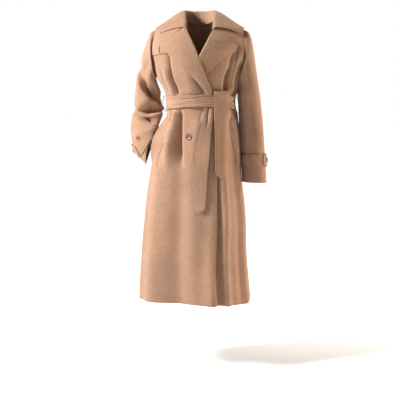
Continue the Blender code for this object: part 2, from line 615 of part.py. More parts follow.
# ---- buttons -----------------------------------------------------------------------------------
def button(name, at, facing, radius):
    """A dished button with a raised rim and four holes, on a short thread shank."""
    facing = np.array(facing, float) / np.linalg.norm(facing)
    aside = np.cross(facing, [0, 0, 1.0])
    aside /= np.linalg.norm(aside)
    up = np.cross(aside, facing)
    thick = 0.22 * radius
    profile = [(0.0, 0.0), (.55, 0.0), (.9, .12), (1.0, .55), (.95, .95), (.86, 1.0), (.70, .62), (0.0, .55)]
    sides, points, faces = 16, [], []
    for share, height in profile[1:-1]:
        for k in range(sides):
            a = 2 * math.pi * k / sides
            points.append(at + (aside * math.cos(a) + up * math.sin(a)) * share * radius
                          + facing * height * thick)
    for ring in range(len(profile) - 3):
        for k in range(sides):
            n = (k + 1) % sides
            faces.append([ring * sides + k, ring * sides + n, (ring + 1) * sides + n, (ring + 1) * sides + k])
    faces.append([k for k in range(sides)][::-1])
    faces.append([(len(profile) - 3) * sides + k for k in range(sides)])
    node = mesh_node(name, points, faces, HORN)
    drills = []
    for sx, sy in ((-1, -1), (1, -1), (1, 1), (-1, 1)):
        middle = at + (aside * sx + up * sy) * 0.19 * radius
        drills.append((middle - facing * thick * 2, middle + facing * thick * 3))
    bore, corners, holes = 0.085 * radius, [], []
    for low, high in drills:
        first = len(corners)
        for end in (low, high):
            for k in range(6):
                a = 2 * math.pi * k / 6
                corners.append(end + (aside * math.cos(a) + up * math.sin(a)) * bore)
        holes += [[first + k, first + (k + 1) % 6, first + 6 + (k + 1) % 6, first + 6 + k] for k in range(6)]
        holes += [[first + k for k in range(6)][::-1], [first + 6 + k for k in range(6)]]
    cutter = mesh_node(name + "_holes", corners, holes, HORN)
    cutter.hide_render, cutter.display_type = True, "WIRE"
    cut = node.modifiers.new("holes", "BOOLEAN")
    cut.object, cut.operation, cut.solver = cutter, "DIFFERENCE", "EXACT"
    return node


for name, x, z in (("front_button", -.0445, -.479),):
    turn, v = place(x, z)
    here = on_form(turn, v, front_lift(turn, v) + WALL / 2 + 0.0004)
    button(name, here, on_form(turn, v, 0.02) - on_form(turn, v, 0.0), 0.0135)

for name, table, way, row, angle in (("cuff_button_left", SLEEVE_LEFT, 1, 9.98, 22.0),
                                     ("cuff_button_right", SLEEVE_RIGHT, -1, 10.48, 22.0)):
    lift = 2.1 * LAYER + WALL / 2 + 0.0004
    here = on_sleeve(table, way, row, angle, lift)
    button(name, here, on_sleeve(table, way, row, angle, 0.05) - here, 0.0105)
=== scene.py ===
# %% [markdown]
# # A long wool wrap coat, empty in its worn form
#
# The coat is cut from thick double-faced wool in about twenty flat pieces: back, two fronts with
# turned-back lapels, collar, storm flap, two sleeves, cuff straps, pocket welts and one long belt.
# Rigid solids of all these pieces are loaded first as a fixed frame. Each piece is then sewn again
# here from finer cloth that follows the same form, and stands in for its solid.

# %% Load the frame and the tools
import math

import bmesh
import bpy
import numpy as np
from mathutils import Matrix, Vector


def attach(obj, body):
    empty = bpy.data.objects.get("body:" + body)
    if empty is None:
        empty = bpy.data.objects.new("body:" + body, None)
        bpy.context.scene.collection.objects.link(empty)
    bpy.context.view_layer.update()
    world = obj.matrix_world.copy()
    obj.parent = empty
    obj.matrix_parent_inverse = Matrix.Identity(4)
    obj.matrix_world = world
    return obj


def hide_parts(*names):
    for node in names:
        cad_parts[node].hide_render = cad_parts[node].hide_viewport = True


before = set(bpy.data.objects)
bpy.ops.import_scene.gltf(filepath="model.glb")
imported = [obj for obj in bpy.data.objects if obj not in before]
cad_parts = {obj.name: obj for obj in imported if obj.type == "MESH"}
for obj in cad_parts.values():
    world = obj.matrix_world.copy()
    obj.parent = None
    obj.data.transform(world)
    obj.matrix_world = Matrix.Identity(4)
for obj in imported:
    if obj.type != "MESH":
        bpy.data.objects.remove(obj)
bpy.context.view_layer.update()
print("solids:", len(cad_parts))

# %% [markdown]
# ## Camera
#
# A long lens at chest height hardly distorts the shape. The camera stands 4.3 m in front of the
# coat and looks slightly down.

# %% Camera
def add_object(name, data, at=(0, 0, 0)):
    """Put a new object into the scene."""
    made = bpy.data.objects.new(name, data)
    made.location = at
    bpy.context.scene.collection.objects.link(made)
    return made


def mesh_of(name, shape):
    """A mesh from a finished bmesh."""
    mesh = bpy.data.meshes.new(name)
    shape.to_mesh(mesh)
    shape.free()
    return mesh


def aimed(name, data, at, aim):
    """A new object that looks at a point, as cameras and lamps do along their own -Z."""
    made = add_object(name, data, at)
    made.rotation_euler = (Vector(aim) - Vector(at)).to_track_quat("-Z", "Y").to_euler()
    return made


EYE, LOOK = Vector((0, -4.3, -0.33)), Vector((0, 0, -0.748))
camera_data = bpy.data.cameras.new("camera")
camera_data.lens, camera_data.sensor_width = 92.577, 36
bpy.context.scene.camera = aimed("camera", camera_data, EYE, LOOK)
print("camera", round((LOOK - EYE).length, 2), "m from the coat")

# %% [markdown]
# ## Shader maths
#
# Nodes are easier to read as sums. `Amount` wraps one output of a node, so that an expression such
# as `0.8 + tuft * 0.16` adds the Math nodes itself. `Nodes` adds any other node to a tree, and `Finish`
# is the tree of one material.

# %% Sums of sockets
class Amount:
    """One number from a node, which can be added, multiplied and so on."""

    def __init__(self, nodes, socket):
        self.nodes, self.socket = nodes, socket

    def maths(self, operation, first, second):
        return self.nodes.node("Math", {"operation": operation}, {0: first, 1: second})

    def __add__(self, other):
        return self.maths("ADD", self, other)

    def __sub__(self, other):
        return self.maths("SUBTRACT", self, other)

    def __mul__(self, other):
        return self.maths("MULTIPLY", self, other)

    __radd__, __rmul__ = __add__, __mul__


class Nodes:
    """A node tree, with one method that makes any node."""

    def __init__(self, tree):
        self.tree = tree

    def join(self, socket, value):
        if isinstance(value, Amount):
            self.tree.links.new(value.socket, socket)
        else:
            socket.default_value = value

    def node(self, kind, settings=None, inputs=None, output=0):
        made = self.tree.nodes.new("ShaderNode" + kind)
        for key, value in (settings or {}).items():
            setattr(made, key, value)
        for key, value in (inputs or {}).items():
            self.join(made.inputs[key], value)
        return Amount(self, made.outputs[output])

    def noise(self, vector, scale, detail, roughness=0.5, distortion=0.0):
        return self.node("TexNoise", inputs={"Vector": vector, "Scale": scale, "Detail": detail,
                                             "Roughness": roughness, "Distortion": distortion},
                         output="Fac")

    def ramp(self, share, *stops):
        """A colour looked up along three stops."""
        made = self.node("ValToRGB", inputs={"Fac": share})
        elements = made.socket.node.color_ramp.elements
        elements.new(0.5)
        for element, (at, colour) in zip(elements, stops):
            element.position, element.color = at, (*colour, 1)
        return made

    def mix(self, share, first, second):
        """A colour between two."""
        return self.node("Mix", {"data_type": "RGBA"}, {0: share, 6: first, 7: second}, 2)

    def smooth_share(self, value, low, high):
        """0 below low, 1 above high, and smooth between."""
        return self.node("MapRange", {"interpolation_type": "SMOOTHSTEP"},
                         {"Value": value, "From Min": low, "From Max": high})


class Finish(Nodes):
    """The nodes of one material."""

    def __init__(self, name, **constants):
        self.material = bpy.data.materials.new(name)
        self.material.use_nodes = True
        super().__init__(self.material.node_tree)
        self.shader = self.tree.nodes["Principled BSDF"]
        for key, value in constants.items():
            self.shader.inputs[key.replace("_", " ")].default_value = value

    def feed(self, key, value):
        self.join(self.shader.inputs[key], value)


print("shader maths ready")

# %% [markdown]
# ## Floor, sky and lamps
#
# The studio is a wide pale floor, which glows instead of being lit only by the lamps: faintly in
# front of the coat, where its glow also lights it from below, and white behind it, painted light
# that makes it look as lit as the backdrop. Its sky is white behind the coat, as a lit backdrop,
# and grey low down and dark above on its other sides, so the front keeps its shades. One large
# soft lamp at the upper left draws the folds, and a warmer one at the right keeps the shaded side
# readable.

# %% Floor, sky and lamps
FLOOR, FLOOR_RADIUS = -1.44, 30
ground = bmesh.new()
bmesh.ops.create_circle(ground, cap_ends=True, segments=64, radius=FLOOR_RADIUS)
bmesh.ops.translate(ground, verts=ground.verts, vec=(0, 0, FLOOR))
floor = add_object("floor", mesh_of("floor", ground))

sky = bpy.data.worlds.new("studio")
sky.use_nodes = True
air = Nodes(sky.node_tree)
sight = air.node("TexCoord", output="Generated")
behind, above = (air.node("SeparateXYZ", inputs={0: sight}, output=axis) for axis in "YZ")
around = air.mix(air.smooth_share(above, 0.18, 0.42), (0.27, 0.255, 0.240, 1), (0.012, 0.009, 0.007, 1))
air.join(sky.node_tree.nodes["Background"].inputs["Color"],
         air.mix(air.smooth_share(behind, 0.70, 0.93), around, (1, 1, 1, 1)))
bpy.context.scene.world = sky
bpy.context.scene.view_settings.view_transform = "Standard"


def lamp(name, at, aim, size, power, colour=(1, 1, 1)):
    """A square soft lamp turned to a point."""
    data = bpy.data.lights.new(name, "AREA")
    data.size, data.energy, data.color = size, power, colour
    aimed(name, data, at, aim)


lamp("key", (-3.5, -1.4, 2.0), (0, 0, -0.6), 0.9, 400)
lamp("fill", (3.3, 0.3, -0.1), (0, 0, -0.7), 1.8, 128, (1, 0.85, 0.71))
print("floor at", FLOOR, "m, lamps: 2")

# %% [markdown]
# ## Wool, thread and horn
#
# Camel wool coating is brushed: short fibres lie down the cloth in soft tufts and scatter the
# light, so it looks mat face-on and glows a little at grazing angles. The fibres follow the cloth,
# so their noise reads the piece's own UV map, which is in metres. Slow changes of tone read the
# object's own place. Painted shade makes the colour warmer and darker along edges, seams and
# stitched channels, where shade lies in the grooves.

# %% Materials
def wool(name, light, dark):
    finish = Finish(name, Roughness=0.88, Specular_IOR_Level=0.18, Sheen_Weight=0.32,
                    Sheen_Roughness=0.42, Sheen_Tint=(1.0, 0.86, 0.74, 1))
    cloth_map = finish.node("UVMap", {"uv_map": "cloth"})
    lying, matted = (finish.node("Mapping", inputs={"Vector": cloth_map, "Scale": (1.0, long, 1.0)})
                     for long in (0.28, 0.6))
    hair = finish.noise(lying, 1500.0, 3.0, 0.62, 0.6)
    tuft = finish.noise(lying, 330.0, 3.0, 0.6, 0.9)
    brushed = finish.noise(matted, 105.0, 2.0, 0.5, 0.5)
    cloud = finish.noise(finish.node("TexCoord", output="Object"), 11.0, 3.0, 0.55)
    groove_shade = finish.node("Attribute", {"attribute_name": "groove_shade"}, output="Fac")
    # painted shade: the tone is lowered along edges, seams and stitched channels, where shade lies in the
    # grooves
    tone = hair * 0.36 + tuft * 0.66 + brushed * 0.50 + cloud * 0.48 - 0.50 - groove_shade * 0.16
    middle = [(a + b) / 2 for a, b in zip(light, dark)]
    finish.feed("Base Color", finish.ramp(tone, (0.12, dark), (0.50, middle), (0.88, light)))
    finish.feed("Roughness", 0.80 + tuft * 0.16)
    finish.feed("Normal", finish.node("Bump", inputs={
        "Strength": 0.55, "Distance": 0.0006, "Height": hair * 0.45 + tuft * 0.8}))
    return finish.material


def spun_thread(name, light, dark):
    """Twisted yarn: slanting strands round the thread."""
    finish = Finish(name, Roughness=0.75, Specular_IOR_Level=0.25, Sheen_Weight=0.2)
    strand = finish.node("TexWave", {"wave_type": "BANDS", "bands_direction": "DIAGONAL"}, {
        "Vector": finish.node("TexCoord", output="Object"), "Scale": 420.0, "Distortion": 1.5,
        "Detail": 1.0}, "Fac")
    finish.feed("Base Color", finish.mix(strand, (*dark, 1), (*light, 1)))
    finish.feed("Normal", finish.node("Bump", inputs={
        "Strength": 0.5, "Distance": 0.0003, "Height": strand}))
    return finish.material


def horn(name, light, middle, dark):
    """Polished horn: cloudy brown streaks under a clear gloss, dulled a little by wear."""
    finish = Finish(name, Specular_IOR_Level=0.5, Coat_Roughness=0.12)
    place = finish.node("TexCoord", output="Object")
    streak, rub = finish.noise(place, 75.0, 4.0, 0.6, 2.2), finish.noise(place, 900.0, 2.0)
    finish.feed("Base Color", finish.ramp(streak, (0.32, dark), (0.50, middle), (0.68, light)))
    finish.feed("Roughness", 0.22 + rub * 0.16)
    finish.feed("Coat Weight", 0.35 + streak * 0.3)
    return finish.material


CAMEL = wool("camel_wool", (0.462, 0.286, 0.195), (0.290, 0.155, 0.090))
SEWING = spun_thread("wool_sewing_thread", (0.395, 0.236, 0.158), (0.236, 0.130, 0.078))
# grey thread for the thread loops, and painted shadow for the buttonhole's slit
GREY = spun_thread("grey_thread", (0.150, 0.140, 0.140), (0.045, 0.040, 0.042))
HORN = horn("brown_button", (0.360, 0.200, 0.110), (0.20, 0.095, 0.045), (0.085, 0.035, 0.016))
FLOOR_GLOW = Finish("pale_glowing_floor", Roughness=0.9, Base_Color=(0.85, 0.85, 0.85, 1), Emission_Strength=1.0)
# painted light: the floor glows, faintly in front of the coat and white behind it, as if lit like the
# backdrop
reach = FLOOR_GLOW.node("SeparateXYZ", inputs={0: FLOOR_GLOW.node("TexCoord", output="Object")}, output="Y")
FLOOR_GLOW.feed("Emission Color", FLOOR_GLOW.mix(FLOOR_GLOW.smooth_share(reach, -0.7, 1.5),
                                     (0.14, 0.14, 0.14, 1), (1, 1, 1, 1)))
floor.data.materials.append(FLOOR_GLOW.material)
print("materials:", CAMEL.name, SEWING.name, GREY.name, HORN.name)

# %% [markdown]
# ## The form of the worn coat
#
# Every piece lies on one surface: rings from the hem to the chest, then a yoke that rounds over to
# the shoulder seam. Each ring is squarish, a superellipse of the power SQUARE, as a worn coat is.
# The numbers of the rings are the same as the solids', so the finer cloth fits them.

# %% Rings and smooth curves
WALL, LAYER, SEAM = 0.0023, 0.0036, 0.00015
HEM, CHEST, SQUARE = -1.165, -0.200, 2.3
HEM_SLANT, YOKE_LEVEL, QUARTER = 0.010, 0.10, math.pi / 2
BODY = {
    "z":      [-1.18, -1.00, -0.80, -0.65, -0.52, -0.44, -0.385, -0.335, -0.29, -0.235, -0.200],
    "centre": [-.022, -.025, -.019, -.018, -.010, .000, .005, .003, .001, -.010, -.010],
    "side":   [.231, .219, .208, .190, .171, .152, .141, .138, .148, .167, .180],
    "front":  [.165, .158, .150, .145, .138, .128, .116, .112, .119, .128, .130],
    "back":   [.165, .160, .156, .152, .145, .128, .112, .106, .108, .114, .116],
}
YOKE = {
    "v":      [1.00, 1.35, 1.70, 2.00],
    "centre": [-.010, -.009, -.004, .000],
    "side":   [.180, .196, .191, .178],
}


def curve(table, column, at):
    """Smooth value of a column of a table, at a position along its first column."""
    keys, values = np.array(next(iter(table.values())), float), np.array(table[column], float)
    slope = np.diff(values) / np.diff(keys)
    product = slope[:-1] * slope[1:]
    inner = np.where(product > 0, 2 * product / np.where(product > 0, slope[:-1] + slope[1:], 1), 0)
    tangent = np.concatenate([slope[:1], inner, slope[-1:]])
    at = np.clip(at, keys[0], keys[-1])
    i = np.clip(np.searchsorted(keys, at, side="right") - 1, 0, len(keys) - 2)
    width = keys[i + 1] - keys[i]
    u = (at - keys[i]) / width
    return ((1 + 2 * u) * (1 - u) ** 2 * values[i] + u * (1 - u) ** 2 * width * tangent[i]
            + u * u * (3 - 2 * u) * values[i + 1] + u * u * (u - 1) * width * tangent[i + 1])


def line_of(table, part, at):
    """Point on a line that a table gives by the columns part_x, part_y and part_z."""
    return np.stack([curve(table, f"{part}_{axis}", at) for axis in "xyz"], -1)


print("rings:", len(BODY["z"]), "below the chest,", len(YOKE["v"]), "above it")

# %% [markdown]
# ## Soft steps and small helpers
#
# Cloth has no corners, so whatever starts or stops on it does so along a smooth step or a bump.
# The other helpers say where a height or an angle lies on the squarish rings.

# %% Soft steps and small helpers
def ease(at, low, high):
    """0 below low, 1 above high, and smooth between."""
    u = np.clip((at - low) / (high - low), 0, 1)
    return u * u * (3 - 2 * u)


def within(at, low, rise, fall, high):
    """0 outside low and high, 1 from rise to fall."""
    return ease(at, low, rise) * (1 - ease(at, fall, high))


def bump(away, width):
    """1 at a place, falling off to both sides of it."""
    return np.exp(-(away / width) ** 2)


def wrapped(angle):
    """An angle, or a difference of two, between -180 and 180 degrees."""
    return (angle + 180) % 360 - 180


def rounding(angle):
    """Radius of a squarish ring at an angle."""
    return (abs(np.sin(angle)) ** SQUARE + abs(np.cos(angle)) ** SQUARE) ** (-1 / SQUARE)


def ring_angle(across):
    """Angle at which a squarish ring reaches a share of its width."""
    return np.arctan2(across, (1 - abs(across) ** SQUARE) ** (1 / SQUARE))


def shoulder(x):
    """Height of the shoulder seam."""
    return 0.018 - 0.336 * abs(x)


def height(v):
    """Height of a v below the chest, and the chest's own above it."""
    return HEM + (CHEST - HEM) * np.clip(v, 0, 1)


def body_v(z):
    """v of a height below the chest."""
    return (z - HEM) / (CHEST - HEM)


def unit(vectors):
    """Vectors of length 1."""
    return vectors / (np.linalg.norm(vectors, axis=-1, keepdims=True) + 1e-12)


def moved(points, back):
    """Points moved backwards, or forwards when negative."""
    return points + np.array([0, 1.0, 0]) * np.asarray(back)[..., None]


print("shoulder seam at the sleeve:", round(shoulder(YOKE["side"][-1]), 3), "m")

# %% [markdown]
# ## Folds
#
# Heavy wool folds softly. The belt gathers the coat at the waist, so folds run down from it and
# widen to the hem, and two deep ones run from the chest into the belt at each side. Each row of
# the table is one fold: where it starts and ends, its angle there, its half width
# in degrees, and how far it pushes the cloth out (or in, when negative) at its two ends. A last
# number narrows its side towards the wearer's left, where the cloth folds over sharply. A slow
# unevenness of under a millimetre goes over everything, because no worn cloth is quite true.

# %% Folds
FOLDS = (
    # top, bottom, angle from, angle to, half width from, to, height from, to
    # skirt, front
    (-.375, -1.20, -74, -72, 7, 8, .003, .009),
    (-.440, -1.20, -52, -47, 8, 10, .001, .016),
    (-.440, -1.20, -21, -17, 9, 16, -.002, -.029),
    (-.400, -1.20, -4, -2, 7, 9, .006, .002),
    (-.720, -1.20, 20, 18, 6, 8, .001, .024),
    (-.375, -1.20, 36, 32.5, 6, 5, .006, .019),
    (-.420, -1.20, 53, 55, 6, 5, -.004, -.006),
    (-.375, -1.20, 64, 65, 6, 7, .005, .010),
    (-.365, -.700, 92, 88, 15, 15, .010, .006),
    # skirt, sides and back
    (-.375, -1.20, 112, 108, 10, 12, .005, .013),
    (-.375, -1.20, 150, 152, 10, 12, .005, .014),
    (-.375, -1.20, 176, 178, 5, 8, .006, .004),
    (-.375, -1.20, 205, 208, 10, 12, .005, .014),
    (-.375, -1.20, 244, 246, 9, 11, .004, .012),
    # pleats that the belt gathers at the waist
    (-.370, -.440, -55.0, -55.5, 2.6, 2.6, -.022, -.012, .5),
    (-.370, -.650, -45.5, -36, 3.6, 7.0, .011, .022),
    (-.370, -.620, -34.0, -17.2, 4.4, 8.0, -.030, -.048, .42),
    (-.372, -.450, 8.2, 10.5, 1.7, 3.2, -.008, -.001),
    (-.372, -.440, 1.2, -4.0, 1.4, 2.6, -.004, -.001),
    (-.372, -.500, 45, 58, 2.4, 4.5, -.010, -.002),
    (-.372, -.480, 130, 133, 3.0, 5.0, -.009, -.001),
    (-.372, -.500, 166, 163, 3.0, 6.0, -.011, -.001),
    (-.372, -.500, 192, 196, 3.0, 6.0, -.011, -.001),
    (-.372, -.480, 226, 223, 3.0, 5.0, -.009, -.001),
    # bodice
    (-.197, -.314, -50.8, -53.5, 2.4, 2.8, -.014, -.030, .45),
    (-.197, -.314, -43.0, -43.0, 3.4, 3.8, .006, .016),
    (-.188, -.314, -33.5, -33.0, 3.8, 4.6, -.036, -.046, .30),
    (-.185, -.312, -12, -13, 9.0, 9.0, .003, .008),
    (-.190, -.312, -66, -66, 5.0, 4.0, .001, .005),
    (-.232, -.318, -5, 8, 3.5, 4.5, -.003, -.013),
    (-.130, -.300, 72, 78, 14, 12, .014, .005),
    (-.188, -.312, 45.5, 42, 3.6, 5.4, -.014, -.021, .5),
    (-.186, -.312, 54.5, 54.5, 3.2, 4.8, .007, .011),
    (-.190, -.312, 63, 66, 5.6, 6.0, -.003, -.006),
    (-.100, -.335, 88, 88, 12, 12, .003, .007),
    (-.150, -.310, 128, 136, 7.0, 5.0, .002, -.009),
    (-.150, -.310, 160, 166, 7.0, 5.0, .002, -.008),
    (-.150, -.310, 200, 194, 7.0, 5.0, .002, -.008),
    (-.150, -.310, 232, 224, 7.0, 5.0, .002, -.009),
)


def folds(turn, z):
    """How far the folds push the cloth out."""
    total = 0.0
    for top, bottom, start, end, narrow, wide, high, low, *sharp in FOLDS:
        share = np.clip((top - z) / (top - bottom), 0, 1)
        along, width, size = (a + (b - a) * share for a, b in
                              ((start, end), (narrow, wide), (high, low)))
        away = wrapped(turn - along)
        width = width * np.where(away > 0, sharp[0] if sharp else 1, 1)
        fade = 0.035 if bottom < -1 or bottom > -0.34 else 0.5 * (top - bottom)
        reach = ease(top - z, -0.004, 0.022) * ease(z - bottom, 0, fade)
        total = total + size * reach * bump(away, width)
    return total


def unevenness(turn, z):
    """Slow waves of the cloth, under a millimetre."""
    a, b = np.radians(turn), z * 10
    return (0.00040 * np.sin(5 * a + 1.3 * b + 0.6) * np.sin(2.1 * b + 3 * a)
            + 0.00030 * np.sin(9 * a - 2.7 * b + 2.0) * np.sin(1.2 * b + 1.0)
            + 0.00018 * np.sin(17 * a + 4.1 * b) * np.sin(3.7 * b - 4 * a))


print("folds:", len(FOLDS))

# %% [markdown]
# ## Points of the form
#
# A point on the coat has two numbers. `turn` is the angle from the front centre towards the
# wearer's left, and `v` runs from 0 at the hem over 1 at the chest to 2 at the shoulder seam.
# `form` turns them into a place, and `place` finds them again for a spot seen from the front, by
# coming nearer to it in a few rounds.

# %% Points of the form
def ring_at(v, z):
    """Half width and middle of the ring at a level."""
    return (np.where(v <= 1, curve(BODY, part, z), curve(YOKE, part, v)) for part in ("side", "centre"))


def pushed_out(turn, z, up, folded):
    """How far folds and unevenness push the cloth out, where the yoke has turned by up."""
    level = z + YOKE_LEVEL * (1 - np.cos(up))
    return (folded * folds(turn, level) + unevenness(turn, level)) * np.cos(up)


def form(turn, v, folded=1):
    """Point of the coat's form; folded 0 leaves the folds out."""
    turn, v = np.broadcast_arrays(np.asarray(turn, float), np.asarray(v, float))
    t, up = np.radians(turn), QUARTER * np.clip(v - 1, 0, 1)
    z = height(v) - HEM_SLANT * np.sin(t) * np.clip(1 - 4 * v, 0, 1)
    side, centre = ring_at(v, z)
    depth = np.where(np.cos(t) > 0, curve(BODY, "front", z), curve(BODY, "back", z))
    out = pushed_out(turn, z, up, folded)
    x = centre + (side + out) * rounding(t) * np.sin(t)
    y = -(depth + out) * rounding(t) * np.cos(t) * rounding(up) * np.cos(up)
    z = z + (shoulder(x) - CHEST) * rounding(up) * np.sin(up)
    return np.stack([x, y, z], -1)


def outward(turn, v, folded=1):
    """Unit vector out of the form."""
    turn, v = np.asarray(turn, float), np.asarray(v, float)
    ahead = form(turn, v + 0.004, folded) - form(turn, v - 0.004, folded)
    return unit(np.cross(form(turn + 0.6, v, folded) - form(turn - 0.6, v, folded), ahead))


def on_form(turn, v, lift=0.0, folded=1):
    """Point of the form, moved out of it by a lift."""
    return form(turn, v, folded) + outward(turn, v, folded) * np.asarray(lift)[..., None]


def place(x, z, folded=1):
    """The turn and v of the form's front at a given x and z."""
    x, z = np.broadcast_arrays(np.asarray(x, float), np.asarray(z, float))
    turn = 0.0 * x
    for _ in range(8):
        hem = HEM - HEM_SLANT * np.sin(np.radians(turn))
        arc = ring_angle(np.clip((z - CHEST) / (shoulder(x) - CHEST), 0, 1))
        low = np.clip((z - hem) / (CHEST - hem), 0, 1)
        low = np.where(low > 0.25, body_v(z), low)
        v = np.where(z <= CHEST, low, 1 + arc / QUARTER)
        side, centre = ring_at(v, z)
        out = pushed_out(turn, np.minimum(z, CHEST), np.where(v <= 1, 0, arc), folded)
        across = np.clip((x - centre) / (side + out), -1, 1)
        turn = 0.3 * turn + 0.7 * np.degrees(ring_angle(across))
    return turn, v


def on_front(x, z, lift=0.0, folded=1):
    """Point of the form's front at a given x and z, moved out of it by a lift."""
    return on_form(*place(x, z, folded), lift, folded)


print("hem width", round(float(form(90, 0.02)[0] - form(270, 0.02)[0]), 3), "m")

# %% [markdown]
# ## Sewing a piece of cloth
#
# A flat piece starts as Blender's own grid. Its points are moved onto the form, the grid is
# extruded into a second face, and both faces are moved apart to the thickness of the cloth. Real
# edges are not sharp cuts: a turned edge is rounded, and a row of stitches 6 mm inside it presses
# a shallow channel. So each grid is first given extra lines close to its edges, where the
# thickness changes. The piece's UV map holds its real lengths in metres, for the nap.

# %% Lines near the edges
CHANNEL = 0.0058  # distance of the stitches from the edge
# distances of the lines from the edge, shares of the cloth's thickness there, how much painted shade
# darkens the wool there
STITCHED = ((0, 0.0011, 0.0046, CHANNEL, 0.0070), (0.42, 0.98, 1.03, 0.66, 1.03), (.30, .05, .05, 1.0, .10))
SEAMED = ((0, 0.0014, 0.0040), (0.50, 0.98, 1.0), (.75, .30, 0))
PLAIN = ((0, 0.0011), (0.42, 0.98), (.20, 0))


def lengths(lines):
    """Distance along each line of points, from its first point."""
    step = np.linalg.norm(np.diff(lines, axis=0), axis=-1)
    return np.concatenate([np.zeros_like(step[:1]), np.cumsum(step, 0)])


def respace(points, axis, first, last, count):
    """Points along one axis again: lines at the given distances from both ends, the rest even."""
    lines = np.moveaxis(points, axis, 0)
    run = lengths(lines)
    middle = np.linspace(0, 1, count + 2)[1:-1]
    made = []
    for k in range(lines.shape[1]):
        long = run[-1, k]
        squeeze = min(1.0, 0.30 * long / max(first[-1], last[-1], 1e-9))
        near, far = np.array(first) * squeeze, long - np.array(last)[::-1] * squeeze
        at = np.concatenate([near, near[-1] + (far[0] - near[-1]) * middle, far])
        made.append([np.interp(at, run[:, k], lines[:, k, c]) for c in range(3)])
    return np.moveaxis(np.array(made).transpose(2, 0, 1), 0, axis)


def profile(first, last, count, which):
    """Column `which` of two hems, from one end to the other with an even middle."""
    return np.concatenate([first[which], np.full(count, 1.0 if which == 1 else 0.0), last[which][::-1]])


def facing(points, ring=False):
    """Unit vectors out of a grid of points."""
    if ring:
        wide = np.concatenate([points[:, -2:-1], points, points[:, 1:2]], 1)
        across = wide[:, 2:] - wide[:, :-2]
    else:
        across = np.gradient(points, axis=1)
    return unit(np.cross(across, np.gradient(points, axis=0)))


print("edge lines:", len(STITCHED[0]), "stitched,", len(SEAMED[0]), "seamed")

# %% [markdown]
# ## Sew a piece
#
# `sew` makes the piece and its four hems: start and end are the sides towards the wearer's right
# and left. It also keeps the line of each stitched side for the topstitching.

# %% Sew a piece
SIDES = ("foot", "top", "start", "end")
sewn, stitch_lines, areas = {}, {}, {}


def keep(shape, name, finish, slot, *nodes):
    """Turn a finished bmesh into a piece that rides on the coat, in place of some nodes or none."""
    for face in shape.faces:
        face.smooth = True
    piece = add_object(name, mesh_of(name, shape))
    piece.data.materials.append(finish)
    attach(piece, "root")
    if nodes:
        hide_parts(*nodes)
    return piece


def sew(node, points, rows, columns, foot=PLAIN, top=PLAIN, start=PLAIN, end=PLAIN, ring=False):
    """A closed sheet of cloth about a dense grid of points, in place of a solid node."""
    grid = respace(points, 0, foot[0], top[0], rows)
    if ring:
        grid = respace(grid, 1, (0,), (0,), columns)
        round_it = np.ones(columns + 2), np.zeros(columns + 2)
    else:
        grid = respace(grid, 1, start[0], end[0], columns)
        round_it = profile(start, end, columns, 1), profile(start, end, columns, 2)
    up_it = profile(foot, top, rows, 1), profile(foot, top, rows, 2)
    thick = WALL * np.minimum(up_it[0][:, None], round_it[0][None, :])
    # painted shade: how much darker the wool is drawn along edges, seams and stitched channels
    groove_shade = np.maximum(up_it[1][:, None], round_it[1][None, :])
    out = facing(grid, ring)
    outer, inner = grid + out * (thick / 2)[..., None], grid - out * (thick / 2)[..., None]
    count_r, count_c = grid.shape[:2]
    along, across = lengths(grid), lengths(grid.swapaxes(0, 1)).T
    across = across - across[:, -1:] / 2

    shape = bmesh.new()
    bmesh.ops.create_grid(shape, x_segments=count_c - 1, y_segments=count_r - 1, size=0.5)
    cloth_map = shape.loops.layers.uv.new("cloth")
    tag, shade_layer = shape.verts.layers.int.new("grid"), shape.verts.layers.float.new("groove_shade")
    flat_u, flat_v, flat_p = across.ravel(), along.ravel(), groove_shade.ravel()
    flat_in, flat_out = inner.reshape(-1, 3), outer.reshape(-1, 3)
    for vert in shape.verts:
        k = round((vert.co.y + 0.5) * (count_r - 1)) * count_c + round((vert.co.x + 0.5) * (count_c - 1))
        vert[tag], vert[shade_layer] = k, flat_p[k]
    for corner in (corner for face in shape.faces for corner in face.loops):
        k = corner.vert[tag]
        corner[cloth_map].uv = flat_u[k], flat_v[k]
    for vert in shape.verts:
        vert.co = flat_in[vert[tag]]
    if ring:
        ends = [vert for vert in shape.verts if vert[tag] % count_c in (0, count_c - 1)]
        bmesh.ops.remove_doubles(shape, verts=ends, dist=1e-6)
    made = bmesh.ops.extrude_face_region(shape, geom=shape.faces[:], use_keep_orig=True)
    for vert in made["geom"]:
        if isinstance(vert, bmesh.types.BMVert):
            vert.co = flat_out[vert[tag]]
    areas[node] = sum(face.calc_area() for face in shape.faces) / 2
    sewn[node] = keep(shape, node + "_wool", CAMEL, "camel_wool", node)

    groove = STITCHED[0].index(CHANNEL)
    lines = {"foot": (groove, slice(4, -4)), "top": (-1 - groove, slice(4, -4)),
             "start": (slice(4, -4), groove), "end": (slice(4, -4), -1 - groove)}
    stitch_lines[node] = [(outer[lines[side]], out[lines[side]]) for side, hem in
                          zip(SIDES, (foot, top, start, end)) if hem is STITCHED]
    print(f"{node}: {len(sewn[node].data.polygons)} faces, {areas[node]:.3f} m2")


def sew_handed(node, way, points, rows, columns, foot, top, near, far):
    """sew for a left and a right piece: way 1 if its columns run towards the wearer's left."""
    if way > 0:
        sew(node, points, rows, columns, foot, top, near, far)
    else:
        sew(node, points[:, ::-1], rows, columns, foot, top, far, near)


print("pieces sewn so far:", len(sewn))

# %% [markdown]
# ## Edges of the back and fronts
#
# The side seams and the armholes are where the edges of two pieces meet. The fronts' free edges
# are curves of their own. Both fronts leave the form in places: they lap, and they dip into shade.

